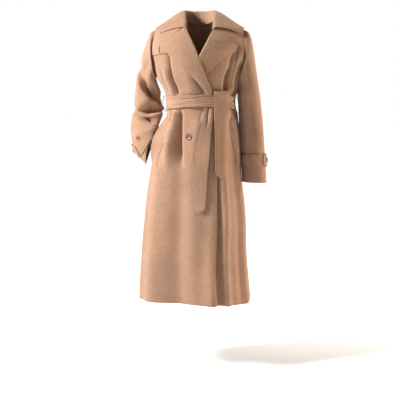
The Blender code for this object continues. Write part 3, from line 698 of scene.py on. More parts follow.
# %% Edges of the body pieces
SIDE_SEAM, ARMHOLE_DEEP = 92.0, 27  # degrees
NECK_HALF, NECK_DEEP = 0.066, 0.070
ARMPIT, TOP = body_v(-0.235), 1.9985
YOKE_ROWS = np.array([1.0, 1.12, 1.26, 1.42, 1.58, 1.74, 1.88, TOP])
DENSE = np.concatenate([np.linspace(0, 1, 150), np.linspace(1, TOP, 70)[1:]])
RIGHT_EDGE = {"z": [-1.18, -.99, -.79, -.61, -.40, -.306, -.217, -.128, -.048, .0],
              "x": [.053, .062, .068, .069, .055, .044, .0122, -.0202, -.0555, -NECK_HALF]}
LEFT_EDGE = {"z": [-1.18, -.80, -.40, -.31, -.22, -.154, -.056, .0],
             "x": [-.060, -.060, -.062, -.060, -.031, .000, .0486, NECK_HALF]}


def armhole(v, way=-1):
    """Turn of the side seam and, above it, of the armhole's edge: way -1 front, 1 back."""
    up = np.clip((v - ARMPIT) / (2 - ARMPIT), 0, 1)
    return SIDE_SEAM - 2 * up + way * (0.04 + ARMHOLE_DEEP * np.sin(np.pi * up) ** 0.6)


def edge_turn(table, v):
    """Turn at which a front's inner edge lies, row by row."""
    x = np.zeros_like(v)
    for _ in range(16):
        up = QUARTER * np.clip(v - 1, 0, 1)
        z = height(v) + (shoulder(x) - CHEST) * rounding(up) * np.sin(up)
        x = 0.5 * x + 0.5 * curve(table, "x", z)
    return place(x, z)[0]


def front_lift(turn, v, way=-1):
    """The right front rides over the left front, and over its lapel above the belt."""
    layers = 1.1 + 1.3 * ease(v, 0.80, 0.87) - 2.4 * ease(v, 1.2, 1.6)
    return LAYER * layers * ease(turn, -78, -48) if way < 0 else 0 * turn


def armhole_lift(turn, v):
    """The left front comes forward to meet its sleeve's head, so that the shoulder looks unbroken."""
    return 0.020 * ease(turn, 47, 65) * within(v, 1.0, 1.14, 1.30, 1.72)


def gorge(turn, v):
    """Between the storm flap and the right lapel's top edge the front drops in, and lies in shade."""
    along = np.clip((turn + 31.8) / 12.3, 0, 1)
    off = (v - 1.470 - 0.092 * along) * 0.17
    return 0.028 * bump(off, 0.0090) * within(turn, -37, -31, -21, -16)


def edge_hollow(turn, v):
    """The left front falls away beside the right one's free edge, which leaves a deep shade."""
    return 0.014 * ease(-0.42 - height(v), 0, 0.25) * bump(turn - 25.0, 3.6)


def seam_gap(v):
    """Backs and fronts stop just short of each other at the shoulder seam."""
    return SEAM * ease(v, 1.88, TOP)


print("armhole reaches", round(float(armhole(1.4)), 1), "degrees at the front")

# %% [markdown]
# ## Fronts and back
#
# The back is one piece from side seam to side seam. The right front laps over the left one. Each
# front ends at a free edge, which turns back above the belt as the lapel.

# %% Fronts and back
def front(node, way, table, fixed):
    """A front, from its side seam and armhole to its free edge. way: -1 right, 1 left."""
    inner, outer = edge_turn(table, DENSE)[:, None], way * armhole(DENSE)[:, None]
    far, near = np.linspace(0, 1, 110)[None, :-1], np.linspace(0, 1, 90)[None, :]
    turn = np.concatenate([outer + (way * fixed - outer) * far,
                           way * fixed + (inner - way * fixed) * near], 1)
    v = np.broadcast_to(DENSE[:, None], turn.shape)
    lift = front_lift(turn, v) - gorge(turn, v) if way < 0 else -edge_hollow(turn, v)
    points = moved(on_form(turn, v, lift), -seam_gap(v) - armhole_lift(turn, v))
    rows, columns = (200, 150) if way < 0 else (180, 110)
    sew_handed(node, -way, points, rows, columns, STITCHED, SEAMED, SEAMED, STITCHED)


front("front_right", -1, RIGHT_EDGE, 36)
front("front_left", 1, LEFT_EDGE, 30)


def back_panel():
    """Its columns fan out evenly below the chest, and run straight up to the shoulders and neck."""
    neck = NECK_HALF / YOKE["side"][-1]
    half = np.concatenate([np.linspace(0, neck, 16), np.linspace(neck, 1, 34)[1:]])
    share = np.concatenate([-half[:0:-1], half])[None, :]
    outer = armhole(DENSE, 1)[:, None]
    across = share * rounding(np.radians(outer)) * np.sin(np.radians(outer))
    straight = np.degrees(ring_angle(across))
    upper = ease(DENSE, 0.86, 1.15)[:, None]
    turn = 180 + share * (180 - outer) * (1 - upper) + straight * upper
    deep = NECK_DEEP * np.sqrt(np.clip(1 - (share[0] / neck) ** 2, 0, 1)) / BODY["back"][-1]
    top = np.minimum(1 + np.arccos(deep) / QUARTER, TOP)
    v = np.where(DENSE[:, None] <= 1, DENSE[:, None], 1 + (DENSE[:, None] - 1) * (top - 1) / (TOP - 1))
    sew("back", moved(on_form(turn, v), seam_gap(v)), 150, 96, STITCHED, SEAMED, SEAMED, SEAMED)


back_panel()

# %% [markdown]
# ## Lapels
#
# A lapel is the top of the front, folded back over the roll line. It starts at the front's edge,
# turns through half a circle and lies back on the chest, slightly crowned.

# %% Lapels
RIGHT_LAPEL = {"z": [-.306, -.255, -.200, -.1505, -.107, -.078, -.044],
               "x": [.030, -.012, -.067, -.121, -.1475, -.1125, -.066]}
LEFT_LAPEL = {"z": [-.306, -.2236, -.190, -.158, -.134, -.1086, -.057],
              "x": [-.042, .0282, .0648, .101, .142, .1557, .079]}


def lapel(node, way, roll, outline, high, swell):
    """high: its height over the front. swell: how much further its upper roll stands out."""
    corners = np.array(outline["z"])
    rows = np.unique(np.concatenate([corners, np.linspace(corners[0], corners[-1], 60)]))
    edge, tip = curve(roll, "x", rows), np.interp(rows, corners, outline["x"])
    base = front_lift(*place(edge, rows, 0), way)
    points, thick = [], high + swell * within(rows, -0.215, -0.13, -0.10, -0.06)
    for angle in np.linspace(0, 180, 13):
        a = math.radians(angle)
        x = edge - way * (high / 2 * math.sin(a))
        points.append(on_front(x, rows, base + thick / 2 * (1 - math.cos(a)), 0))
    for share in np.linspace(0.04, 1, 30):
        x = edge + (tip - edge) * share
        turn, v = place(x, rows, 0)
        crown = 0.25 * math.sin(math.pi * share)
        lift = front_lift(turn, v, way) + high * (1 + crown) + (thick - high) * (1 - share) ** 1.2
        points.append(moved(on_form(turn, v, lift, 0), -armhole_lift(turn, v)))
    sew_handed(node, way, np.stack(points, 1), 56, 40, PLAIN, STITCHED, PLAIN, STITCHED)


lapel("lapel_right", -1, RIGHT_EDGE, RIGHT_LAPEL, 2 * LAYER, 0.004)
lapel("lapel_left", 1, LEFT_EDGE, LEFT_LAPEL, 1.3 * LAYER, 0.018)

# %% [markdown]
# ## Collar
#
# The collar stands up round the neck, rolls over and falls onto the shoulders. Half of it is
# given by three lines from its front end to the middle of the back: where it is sewn to the neck,
# where it rolls, and its free edge.

# %% Collar
COLLAR = {
    "along":  [0, .18, .36, .52, .70, .85, 1],
    "roll_x": [.0500, .0530, .0570, .0590, .0520, .030, 0],
    "roll_y": [-.090, -.062, -.030, .005, .048, .070, .077],
    "roll_z": [-.046, -.016, .018, .037, .042, .042, .042],
    "neck_x": [.0560, .0600, .0640, .0660, .0540, .030, 0],
    "neck_y": [-.078, -.052, -.024, .004, .040, .061, .0685],
    "neck_z": [-.058, -.034, -.014, -.004, -.010, -.020, -.022],
    "edge_x": [.1640, .1760, .1820, .1790, .1500, .085, 0],
    "edge_y": [-.060, -.036, -.006, .026, .082, .122, .132],
    "edge_z": [-.0590, -.046, -.0345, -.038, -.072, -.092, -.094],
}


def clear_of_form(points, gap):
    """Points, moved out where they are nearer than a gap to the form."""
    turn, v = np.meshgrid(np.arange(0, 360, 4), np.linspace(0.9, 2, 40))
    base, normal = form(turn, v).reshape(-1, 3), outward(turn, v).reshape(-1, 3)
    made = points.copy()
    for k, point in np.ndenumerate(np.empty(points.shape[:-1])):
        near = np.argsort(((base - points[k]) ** 2).sum(-1))[:4]
        height = ((points[k] - base[near]) * normal[near]).sum(-1).mean()
        made[k] += unit(normal[near].mean(0)) * max(gap - height, 0)
    return made


def smooth_grid(points, times):
    """Evens out the inside of a grid of points."""
    points = points.copy()
    for _ in range(times):
        points[1:-1] += 0.25 * (points[2:] + points[:-2] - 2 * points[1:-1])
        points[:, 1:-1] += 0.25 * (points[:, 2:] + points[:, :-2] - 2 * points[:, 1:-1])
    return points


def collar():
    along = np.linspace(0, 1, 46)
    neck, roll, edge = (line_of(COLLAR, part, along) for part in ("neck", "roll", "edge"))
    inward = -unit(neck * [1, 1, 0])
    up = np.array([0, 0, 1.0])
    foot = neck + inward * 0.0032 + up * 0.0050
    rise = [foot, foot + (roll - foot) * 0.45 + inward * 0.001, roll + inward * 0.003 - up * 0.006,
            roll + inward * 0.0012 - up * 0.0018, roll + up * 0.0004]
    fall = []
    for share in np.concatenate([[0.03, 0.07], np.linspace(0.13, 1.0, 16)]):
        arch = 0.010 * math.sin(math.pi * share ** 0.6) * up
        fall.append(clear_of_form(roll + (edge - roll) * share + arch, 0.0100))
    half = np.stack(rise + fall)
    points = np.concatenate([half * [-1, 1, 1], half[:, -2::-1]], 1)
    points = smooth_grid(points[:, ::-1], 3)
    sew("collar", points[::-1], 34, 110, STITCHED, SEAMED, STITCHED, STITCHED)


collar()

# %% [markdown]
# ## Storm flap
#
# A flap of one more layer lies over the right side of the chest. It is sewn into the shoulder seam
# and the armhole, and its free corner hangs under the lapel with a buttonhole in it.

# %% Storm flap
FLAP_FOOT = -0.147


def storm_flap():
    v_low = float(place(-0.165, FLAP_FOOT)[1])
    v = np.linspace(v_low, 1.985, 120)[:, None]
    inner = float(place(-0.105, -0.12)[0])
    inner = inner - (inner + 19.5) * np.clip((v - 1.465) / 0.11, 0, 1)
    turn = (-armhole(v) + 0.9) * (1 - np.linspace(0, 1, 80)) + inner * np.linspace(0, 1, 80)
    lift = front_lift(turn, v) + LAYER
    sew("storm_flap", on_form(turn, v, lift, 0), 90, 60, STITCHED, SEAMED, SEAMED, STITCHED)


storm_flap()

# %% [markdown]
# ## Sleeve lines and creases
#
# The left arm hangs and the right one is bent, with the hand in the pocket. Two lines give each
# sleeve, one over the shoulder and elbow and one from the armpit. The bent sleeve breaks into deep
# creases at the elbow, which are placed one by one.

# %% Sleeve lines and creases
SLEEVES = {1: {
    "row":   [0, 1, 2, 3, 4, 5, 6, 7, 8, 9, 10, 11],
    "out_x": [.178, .196, .207, .216, .224, .232, .241, .252, .260, .266, .271, .277],
    "out_y": [.000, .001, .002, .002, .002, .002, .002, .004, .002, -.004, -.008, -.012],
    "out_z": [-.044, -.050, -.068, -.100, -.150, -.205, -.265, -.340, -.420, -.500, -.580, -.672],
    "in_x":  [.158, .1575, .157, .156, .156, .156, .157, .160, .163, .1675, .173, .177],
    "in_y":  [.000, .000, .000, .000, .000, .000, .000, .004, -.002, -.010, -.016, -.020],
    "in_z":  [-.2375, -.240, -.243, -.247, -.254, -.268, -.297, -.355, -.427, -.502, -.580, -.669],
    "deep":  [.090, .086, .082, .078, .074, .070, .066, .063, .060, .057, .056, .056],
}, -1: {
    "row":   [0, 1, 2, 3, 4, 5, 6, 7, 8, 9, 10, 11, 12],
    "out_x": [-.178, -.197, -.209, -.226, -.243, -.256, -.262, -.268, -.278, -.287, -.281, -.252, -.221],
    "out_y": [.000, .002, .005, .012, .022, .034, .048, .066, .078, .070, .057, .041, .024],
    "out_z": [-.044, -.050, -.068, -.108, -.155, -.205, -.262, -.330, -.390, -.452, -.510, -.565, -.603],
    "in_x":  [-.1775, -.180, -.181, -.181, -.180, -.176, -.170, -.162, -.157, -.159, -.166, -.177, -.192],
    "in_y":  [.000, .001, .003, .006, .010, .014, .018, .020, .016, .000, -.016, -.025, -.030],
    "in_z":  [-.2375, -.240, -.243, -.248, -.256, -.270, -.293, -.328, -.360, -.386, -.412, -.446, -.487],
    "deep":  [.090, .086, .082, .078, .074, .070, .066, .062, .060, .060, .057, .050, .043],
}}
# row, slant over a quarter turn, half width above, half width below, angle, reach in degrees, height
CREASES = {-1: (
    (3.4, 1.6, .9, .9, 60, 45, -.005), (4.4, 1.2, .6, .6, 120, 40, .004), (5.2, .7, .7, .5, 110, 60, .007),
    (6.30, 1.25, .90, .20, 104, 84, -.060), (7.50, -.35, .60, .12, 100, 52, .014),
    (8.12, .50, .46, .11, 80, 52, -.038), (8.16, .60, .66, .24, 142, 42, -.050),
    (8.42, .70, .12, .26, 104, 50, .009), (9.40, 1.9, .60, .22, 136, 44, -.050),
    (9.90, 1.3, .24, .40, 105, 50, .006),
    (6.9, .3, .5, .4, 250, 60, -.009), (8.1, .0, .4, .3, 255, 60, .007), (8.7, -.2, .3, .3, 250, 50, -.008),
), 1: (
    (7.0, 0.75, .7, .7, 90, 60, .003), (5.6, -1.0, .8, .6, 130, 50, -.004),
    (6.4, -.8, .5, .7, 140, 45, .003), (8.0, .6, .6, .6, 250, 60, -.003),
)}
# angle at the shoulder, angle at the cuff, half width, height: soft folds along the arm
LENGTHWISE = {1: ((40, 48, 22, .004), (95, 88, 14, -.004), (128, 124, 13, .004), (225, 235, 22, .004),
                  (280, 275, 18, -.004)),
              -1: ((52, 60, 16, .003), (88, 84, 14, -.005), (118, 110, 14, .004), (240, 235, 22, .004))}


def creases(way, row, angle):
    """Ridges and hollows of a sleeve. way: 1 the left sleeve, -1 the right one."""
    total = 0.0
    for centre, slant, above, below, at, reach, high in CREASES[way]:
        off = wrapped(angle - at)
        away = row - centre - slant * off / 90
        total = total + high * bump(away, np.where(away < 0, above, below)) * bump(off, reach)
    for begin, end, wide, high in LENGTHWISE[way]:
        off = wrapped(angle - begin - (end - begin) * row / 11)
        reach = ease(row, 1.2, 4) * (1 - ease(row, 5.0, 7.5) if way < 0 else 1 - 0.5 * ease(row, 8, 9.5))
        total = total + high * reach * bump(off, wide)
    return total


print("creases:", len(CREASES[-1]), "right,", len(CREASES[1]), "left")

# %% [markdown]
# ## Points of a sleeve
#
# A point on a sleeve also has two numbers, its row down the arm and its angle round it. The rings
# are ellipses between the two lines, pushed in and out by the creases.

# %% Points of a sleeve
ROUND = 96  # columns round a sleeve


def armhole_ring(way):
    """Edge of the armhole from the shoulder, down its front, under the arm and up its back."""
    stops = np.concatenate([YOKE_ROWS[::-1], [ARMPIT], YOKE_ROWS])
    at = np.arange(ROUND + 1) * 16 / ROUND
    v = np.interp(at, np.arange(17), stops)
    turn = np.where(at <= 8, armhole(v), armhole(v, 1))
    in_front = at <= 8
    ring = on_form(way * turn, v, np.where(in_front, front_lift(way * turn, v, way), 0))
    return moved(ring, -np.where(in_front, armhole_lift(way * turn, v), 0))


def sleeve_point(way, row, angle):
    """Point of a sleeve. angle: 0 on the outer line, 90 in front, 180 on the inner line."""
    row, angle = np.broadcast_arrays(np.asarray(row, float), np.radians(np.asarray(angle, float)))
    outer, inner = line_of(SLEEVES[way], "out", row), line_of(SLEEVES[way], "in", row)
    out_way = unit(outer - inner)
    front_way = unit(np.array([0, -1.0, 0]) + out_way[..., 1:2] * out_way)
    half = np.linalg.norm(outer - inner, axis=-1) / 2
    deep = curve(SLEEVES[way], "deep", row)
    crease = creases(way, row, np.degrees(angle))
    return ((outer + inner) / 2 + out_way * ((half + crease) * np.cos(angle))[..., None]
            + front_way * ((deep + crease) * np.sin(angle))[..., None])


def on_sleeve(way, row, angle, lift):
    """Point of a sleeve, moved out of it by a lift."""
    row, angle = np.asarray(row, float), np.asarray(angle, float)
    down = sleeve_point(way, row + 0.03, angle) - sleeve_point(way, row - 0.03, angle)
    round_it = sleeve_point(way, row, angle + 1) - sleeve_point(way, row, angle - 1)
    normal = unit(np.cross(down, round_it) * -way)
    return sleeve_point(way, row, angle) + normal * np.asarray(lift)[..., None]


print("left cuff at", sleeve_point(1, 11, 0).round(3), "m")

# %% [markdown]
# ## Sleeves
#
# Each sleeve is a tube. Its first ring is the armhole itself, so that the
# seam closes, and the next ones change slowly into the sleeve's own rings.

# %% Sleeves
JOINED = 3.2  # rows over which the armhole's ring becomes the sleeve's


def sleeve(node, way, last, cut):
    """A tube from the armhole to the cuff. cut: rows by which the end is shorter in front."""
    angle = np.arange(ROUND + 1) * 360 / ROUND
    start = armhole_ring(way) + np.array([way * 0.0004, 0, 0])
    points = [start]
    for share in np.linspace(0, 1, 240)[1:]:
        row = share * last - cut * bump(angle - 108, 38) * ease(share, 0.8, 1)
        ring = sleeve_point(way, row, angle)
        hold = 1 - ease(row, 0, JOINED)[:, None]
        drift = start + row[:, None] * np.array([way * 0.012, 0, -0.004])
        points.append(drift * hold + ring * (1 - hold))
    points = np.stack(points)[::-1]
    sew(node, points if way > 0 else points[:, ::-1], 180, ROUND - 1, STITCHED, SEAMED, ring=True)


sleeve("sleeve_left", 1, 11, 0)
sleeve("sleeve_right", -1, 11.8, 0.55)

# %% [markdown]
# ## Cuff straps
#
# A strap goes once round each cuff through thread keepers, and its pointed end is buttoned over
# its start. On the bent arm it slants with the cuff.

# %% Straps
STRAPS = {1: (9.66, 10.30), -1: (10.0, 10.95)}  # rows of their two edges
LEAN = [0, 60, 90, 120, 150, 180, 270, 360]


def cuff_strap(node, way, lean):
    """lean: rows by which it lies below its rows, at the angles of LEAN."""
    low, high = STRAPS[way]
    turns = np.concatenate([np.linspace(0, 344, 90), np.linspace(347, 393, 24)])
    share = np.linspace(0, 1, 9)[:, None]
    angle = 20 - 360 + turns[None, :]
    lap = ease(turns, 338, 356)[None, :]
    point = 1 - 0.42 * ease(turns, 381, 393)[None, :] ** 1.5
    row = (low + high) / 2 + (high - low) * (0.5 - share) * point
    row = row + curve({"at": LEAN, "lean": lean}, "lean", angle % 360)
    points = on_sleeve(way, row, angle, LAYER * (1.1 + lap) + 0 * row)
    sew_handed(node, way, points, 4, 110, STITCHED, STITCHED, PLAIN, STITCHED)


cuff_strap("cuff_strap_left", 1, [0] * 8)
cuff_strap("cuff_strap_right", -1, [0, .14, .20, .18, .50, .80, .40, 0])

# %% [markdown]
# ## Pocket welts
#
# The pockets are slanted: a welt is sewn down along its front line, and its edge at the side
# stands open for the hand.

# %% Welts
WELT_RIGHT = {"z": [-.605, -.553, -.498, -.455, -.415],
              "x": [-.176, -.163, -.137, -.122, -.112]}
WELT_LEFT = {"z": [-.600, -.546, -.494, -.450, -.412],
             "x": [.147, .140, .127, .118, .112]}


def pocket_welt(node, way, seam, side, stand):
    """side: turn of its open edge. stand: how far that edge gapes in the middle."""
    rows = np.linspace(seam["z"][0], seam["z"][-1], 40)[:, None]
    start = place(curve(seam, "x", rows), rows)[0]
    share = np.concatenate([np.linspace(0, 0.2, 8)[:-1], np.linspace(0.2, 1, 22)])[None, :]
    turn = start + (way * side - start) * share
    open_edge = stand * np.sin(np.pi * np.linspace(0.02, 0.98, 40)[:, None]) * share ** 1.5
    z = rows + 0.012 * share
    v = body_v(z)
    sewn_down = WALL * 0.62 + (WALL * 0.38 + 0.0003) * ease(share, 0, 0.10)
    points = on_form(turn, v, front_lift(turn, v, way) + sewn_down + open_edge)
    sew_handed(node, way, points, 44, 20, PLAIN, PLAIN, PLAIN, STITCHED)


pocket_welt("pocket_welt_right", -1, WELT_RIGHT, 70, 0.026)
pocket_welt("pocket_welt_left", 1, WELT_LEFT, 82, 0.002)

# %% [markdown]
# ## Belt
#
# The belt is one long strip. It runs round the waist through two thread loops, and creases
# lengthwise where the tie in front pulls it together.

# %% Belt band
BELT = {
    "turn":   [30, 50, 90, 135, 180, 225, 270, 320, 360, 390],
    "middle": [-.331, -.337, -.350, -.352, -.350, -.348, -.3445, -.336, -.333, -.332],
    "half":   [.0265, .027, .029, .028, .028, .028, .0275, .027, .026, .026],
}
# how much of the coat's folds the tight band and the hanging ends follow
BAND_FOLLOWS, END_FOLLOWS = 0.35, 0.5
# turn, place across the band, change of that place along 10 degrees, half width, reach, height
BAND_CREASES = (
    (350, .40, .10, .13, 26, -.0036), (358, .02, .11, .11, 18, -.0034), (366, -.38, .06, .12, 15, -.0034),
    (372, .70, .04, .10, 12, -.0028), (344, -.05, .05, .20, 20, .0014), (330, -.55, .06, .14, 16, -.0022),
    (374, -.70, .02, .10, 12, -.0026), (312, .40, .03, .20, 16, -.0016), (60, .25, .10, .14, 14, -.0034),
    (52, -.45, -.12, .13, 12, -.0034), (100, -.10, .04, .25, 24, -.0012), (150, .35, -.03, .22, 26, -.0012),
    (205, -.25, .03, .22, 26, -.0012), (262, .20, .02, .22, 26, -.0012),
)


def belt_lift(turn):
    """Height of the band's middle over the form: over both fronts, and over the tails' roots."""
    away = wrapped(turn)
    over_front = 2.25 * LAYER * within(away, -78, -48, 48, 72)
    return over_front + LAYER * (1.4 + 1.0 * within(away, -24, -6, 56, 72))


def belt_band():
    turn = np.linspace(33.5, 387.5, 360)[None, :]
    share = np.linspace(-1, 1, 25)[:, None]
    edge = 0.0010 * np.sin(np.radians(turn * 4.2 + 40)) + 0.0007 * np.sin(np.radians(turn * 11.0))
    z = curve(BELT, "middle", turn) + curve(BELT, "half", turn) * share + edge
    pleat = 0 * turn * share
    for at, across, slant, width, reach, high in BAND_CREASES:
        off = turn - at
        pleat = pleat + high * bump(share - across - slant * off / 10, width) * bump(off, reach)
    sew("belt_band", on_form(turn, body_v(z), belt_lift(turn) + pleat, BAND_FOLLOWS), 22, 250,
        STITCHED, STITCHED, PLAIN, PLAIN)


belt_band()

# %% [markdown]
# ## Belt ends
#
# The belt is tied once: one end comes up behind the band, turns over its top edge and falls over
# it, and the other hangs below it. Both ends are rounded.

# %% Belt ends
TAIL_OVER = {"z": [-.642, -.600, -.540, -.460, -.400, -.366],
             "x": [.087, .087, .0865, .084, .081, .080],
             "half": [.029, .029, .0288, .0285, .0285, .0285],
             "lift": [.0095, .0095, .0105, .0140, .0200, .0222]}
TAIL_UNDER = {"z": [-.781, -.740, -.650, -.560, -.480, -.410, -.365, -.335],
              "x": [-.006, -.004, .001, .009, .018, .030, .034, .035],
              "half": [.0265, .0265, .0265, .026, .0240, .0200, .0170, .0165],
              "lift": [.0085, .0090, .0110, .0125, .0125, .0120, .0119, .0119]}


ACROSS = np.linspace(-1, 1, 21)


def tail_grid(path, count, round_end):
    """Points of a hanging belt end, with its rows close together near its rounded free end."""
    foot, share = path["z"][0], ACROSS[None, :]
    close = foot + 0.024 * np.linspace(0, 1, 16) ** 2
    rows = np.unique(np.concatenate([close, np.linspace(foot + .026, path["z"][-1], count)]))
    half, near = curve(path, "half", rows), np.clip((rows - foot) / round_end, 0, 1)
    narrow = 0.12 + 0.88 * np.sqrt(1 - (1 - near) ** 2.2)
    x = curve(path, "x", rows)[:, None] + (half * narrow)[:, None] * share
    z = rows[:, None] + 0 * share
    ripple = 0.0008 * np.sin(rows * 31)[:, None] * share
    if path is TAIL_OVER:
        ripple = ripple - 0.0075 * share * ease(-rows, 0.36, 0.46)[:, None]
    else:
        gather = 0.0050 * ease(rows, -0.455, -0.39)[:, None] * bump(share - 0.05, 0.22)
        ripple = ripple - gather + 0.0035 * share * ease(-rows, 0.42, 0.52)[:, None]
    return on_front(x, z, curve(path, "lift", rows)[:, None] + ripple, END_FOLLOWS)


sew("belt_tail_under", tail_grid(TAIL_UNDER, 60, .024), 66, 16, STITCHED, PLAIN, STITCHED, STITCHED)


def tail_over():
    """The end that lies over the band: its hanging part, then its turn over the band's top edge."""
    band_top = -.306
    path = {"step": range(7), "level": [-.340, band_top, -.2955, -.2915, -.2955, band_top, -.335],
            "lift": [.0224, .0224, .0203, .0163, .0122, .0102, .0100]}
    points, x = [tail_grid(TAIL_OVER, 50, .022)], TAIL_OVER["x"][-1] + TAIL_OVER["half"][-1] * ACROSS
    for step in np.linspace(0, 6, 31):
        level, lift = (float(curve(path, part, step)) for part in ("level", "lift"))
        low = min(level, band_top)
        points.append(on_front(x, low, lift, END_FOLLOWS)[None] + [0, 0, level - low])
    sew("belt_tail_over", np.concatenate(points), 96, 18, STITCHED, PLAIN, STITCHED, STITCHED)


tail_over()

# %% [markdown]
# ## Thread loops
#
# The belt and the straps run through loops of twisted thread, sewn in above and below them. A
# loop is a circle swept along a smoothed line.

# %% Thread loops
def standing(at, way):
    """A matrix that stands a thing on a point, its Z along a way."""
    return Matrix.Translation(at) @ Vector(way).to_track_quat("Z", "Y").to_matrix().to_4x4()


def lying(at, way, out, size):
    """A matrix that lays a thing on a point: X along a way, Z outward, and to a size."""
    out = Vector(out)
    turned = Matrix((way, out.cross(Vector(way)), out)).transposed().to_4x4()
    return Matrix.Translation(at) @ turned @ Matrix.Diagonal((*size, 1))


def loop(node, points, radius):
    """A cord of thread through a few points."""
    spots, steps = np.array(points), np.linspace(0, 1, 9)[1:, None]
    line = np.concatenate([spots[:1], *[a + (b - a) * steps for a, b in zip(spots, spots[1:])]])
    for _ in range(12):
        line[1:-1] += 0.25 * (line[2:] + line[:-2] - 2 * line[1:-1])
    shape, last = bmesh.new(), None
    for at, way in zip(line, np.gradient(line, axis=0)):
        made = bmesh.ops.create_circle(shape, segments=10, radius=radius, matrix=standing(at, way))
        edges = list({edge for vert in made["verts"] for edge in vert.link_edges})
        if last:
            bmesh.ops.bridge_loops(shape, edges=last + edges)
        last = edges
    bmesh.ops.holes_fill(shape, edges=[edge for edge in shape.edges if edge.is_boundary], sides=0)
    bmesh.ops.recalc_face_normals(shape, faces=shape.faces)
    keep(shape, node + "_thread", GREY, "grey_thread", node)


def carrier(node, turn, stand):
    """A thread loop at a side seam, standing round the belt."""
    middle, half = (float(curve(BELT, part, turn % 360)) for part in ("middle", "half"))
    low, high = middle - half, middle + half
    spots = [(high + .0055, .0006), (high + .0050, .006)] + [
        (middle + (high - middle + .0045) * math.cos(a), .0085 + stand * math.sin(a))
        for a in np.linspace(0.15, math.pi - 0.15, 9)] + [(low - .0050, .006), (low - .0055, .0006)]
    loop(node, [on_form(turn, body_v(z), lift) for z, lift in spots], 0.0011)


KEEPER_ANGLE = -28


def keeper(node, way):
    """A thread loop that carries a cuff strap, at the back of the sleeve's outer line."""
    low, high = STRAPS[way]
    spots = ((low - .07, .0006), (low - .05, .0055), (low - .02, .0075), ((low + high) / 2, .0078),
             (high + .02, .0075), (high + .05, .0055), (high + .07, .0006))
    loop(node, [on_sleeve(way, row, KEEPER_ANGLE, lift) for row, lift in spots], 0.0008)


carrier("belt_carrier_right", -86.0, 0.0115)
carrier("belt_carrier_left", 86.0, 0.0095)
keeper("strap_keeper_left", 1)
keeper("strap_keeper_right", -1)
print("thread loops: 4")

# %% [markdown]
# ## Topstitching
#
# Every free edge of the coat is topstitched. Each stitch here is a small bead of thread that lies
# in the pressed channel, a little longer than it is wide.

# %% Topstitching
GAP = 0.0052
STITCH = (0.0021, 0.00042, 0.00036)  # half its length, width and height


def bead(shape, at, way, out, size):
    """One stitch of thread along a way, added to a bmesh."""
    bmesh.ops.create_icosphere(shape, subdivisions=1, radius=1, matrix=lying(at, way, out, size))


def stitches(node, lines):
    """Beads of thread along the thinned, stitched channels of one piece."""
    shape, count = bmesh.new(), 0
    for line, out in lines:
        run = lengths(line)
        for at in np.arange(GAP, run[-1] - GAP, GAP):
            spot, ahead, normal = (np.array([np.interp(at + d, run, field[:, c]) for c in range(3)])
                                   for d, field in ((0, line), (0.001, line), (0, out)))
            way = unit(ahead - spot)
            normal = unit(normal - way * (normal @ way))
            bead(shape, spot + normal * 0.00012, way, normal, STITCH)
            count += 1
    keep(shape, "stitches_" + node, SEWING, "camel_wool")
    return count


total = sum(stitches(node, lines) for node, lines in stitch_lines.items() if lines)
print("stitches:", total)

# %% [markdown]
# ## Buttons
#
# A horn button is turned on a lathe: a flat back, a raised rim and a dished face with four holes.
# The profile is spun round the button's own axis and the holes are cut through. Thread crosses
# between the holes.

# %% Buttons
# shares of a button's radius, then its outline as shares of radius and thickness
THICK, HOLE_AT, HOLE, YARN = 0.24, 0.20, 0.095, (0.34, 0.075, 0.10)
RIM = ((0, 0), (.55, 0), (.84, .06), (.97, .30), (1.0, .55), (.985, .80), (.94, .96), (.885, 1.0),
       (.83, .93), (.76, .72), (.66, .60), (.40, .54), (0, .52))


def settle(piece):
    """Replace a piece's mesh by what its modifiers make of it."""
    graph = bpy.context.evaluated_depsgraph_get()
    mesh = bpy.data.meshes.new_from_object(piece.evaluated_get(graph))
    piece.modifiers.clear()
    piece.data = mesh


def button(name, nodes, at, facing_way, radius):
    """Disc, holes and crossed thread, standing on a surface at a point."""
    stand, thick = standing(at, facing_way), THICK * radius
    shape = bmesh.new()
    verts = [shape.verts.new((share * radius, 0, height * thick)) for share, height in RIM]
    edges = [shape.edges.new(pair) for pair in zip(verts, verts[1:])]
    bmesh.ops.spin(shape, geom=verts + edges, axis=(0, 0, 1), cent=(0, 0, 0), steps=48,
                   angle=2 * math.pi, use_merge=True)
    bmesh.ops.remove_doubles(shape, verts=shape.verts, dist=1e-6)
    bmesh.ops.recalc_face_normals(shape, faces=shape.faces)
    shape.transform(stand)
    piece = keep(shape, name + "_horn", HORN, "brown_button", *nodes)
    drill = bmesh.new()
    holes = [Vector((x, y, 0)) * HOLE_AT * radius for x, y in ((-1, -1), (1, -1), (1, 1), (-1, 1))]
    for hole in holes:
        bmesh.ops.create_cone(drill, cap_ends=True, segments=16, radius1=HOLE * radius,
                              radius2=HOLE * radius, depth=thick * 4,
                              matrix=stand @ Matrix.Translation(hole))
    cutter = add_object(name + "_drill", mesh_of(name + "_drill", drill))
    cut = piece.modifiers.new("holes", "BOOLEAN")
    cut.object, cut.operation, cut.solver = cutter, "DIFFERENCE", "EXACT"
    settle(piece)
    bpy.data.objects.remove(cutter)
    yarn = bmesh.new()
    for first, second, level in ((0, 2, .70), (1, 3, .86)):
        middle = (holes[first] + holes[second]) / 2 + Vector((0, 0, thick * level))
        way = (holes[second] - holes[first]).normalized()
        bmesh.ops.create_uvsphere(yarn, u_segments=12, v_segments=8, radius=1, matrix=(
            stand @ lying(middle, way, (0, 0, 1), [share * radius for share in YARN])))
    bmesh.ops.create_cone(yarn, cap_ends=True, segments=16, radius1=0.26 * radius, radius2=0.22 * radius,
                          depth=0.0016, matrix=stand @ Matrix.Translation((0, 0, -0.0006)))
    keep(yarn, name + "_yarn", SEWING, "camel_wool")


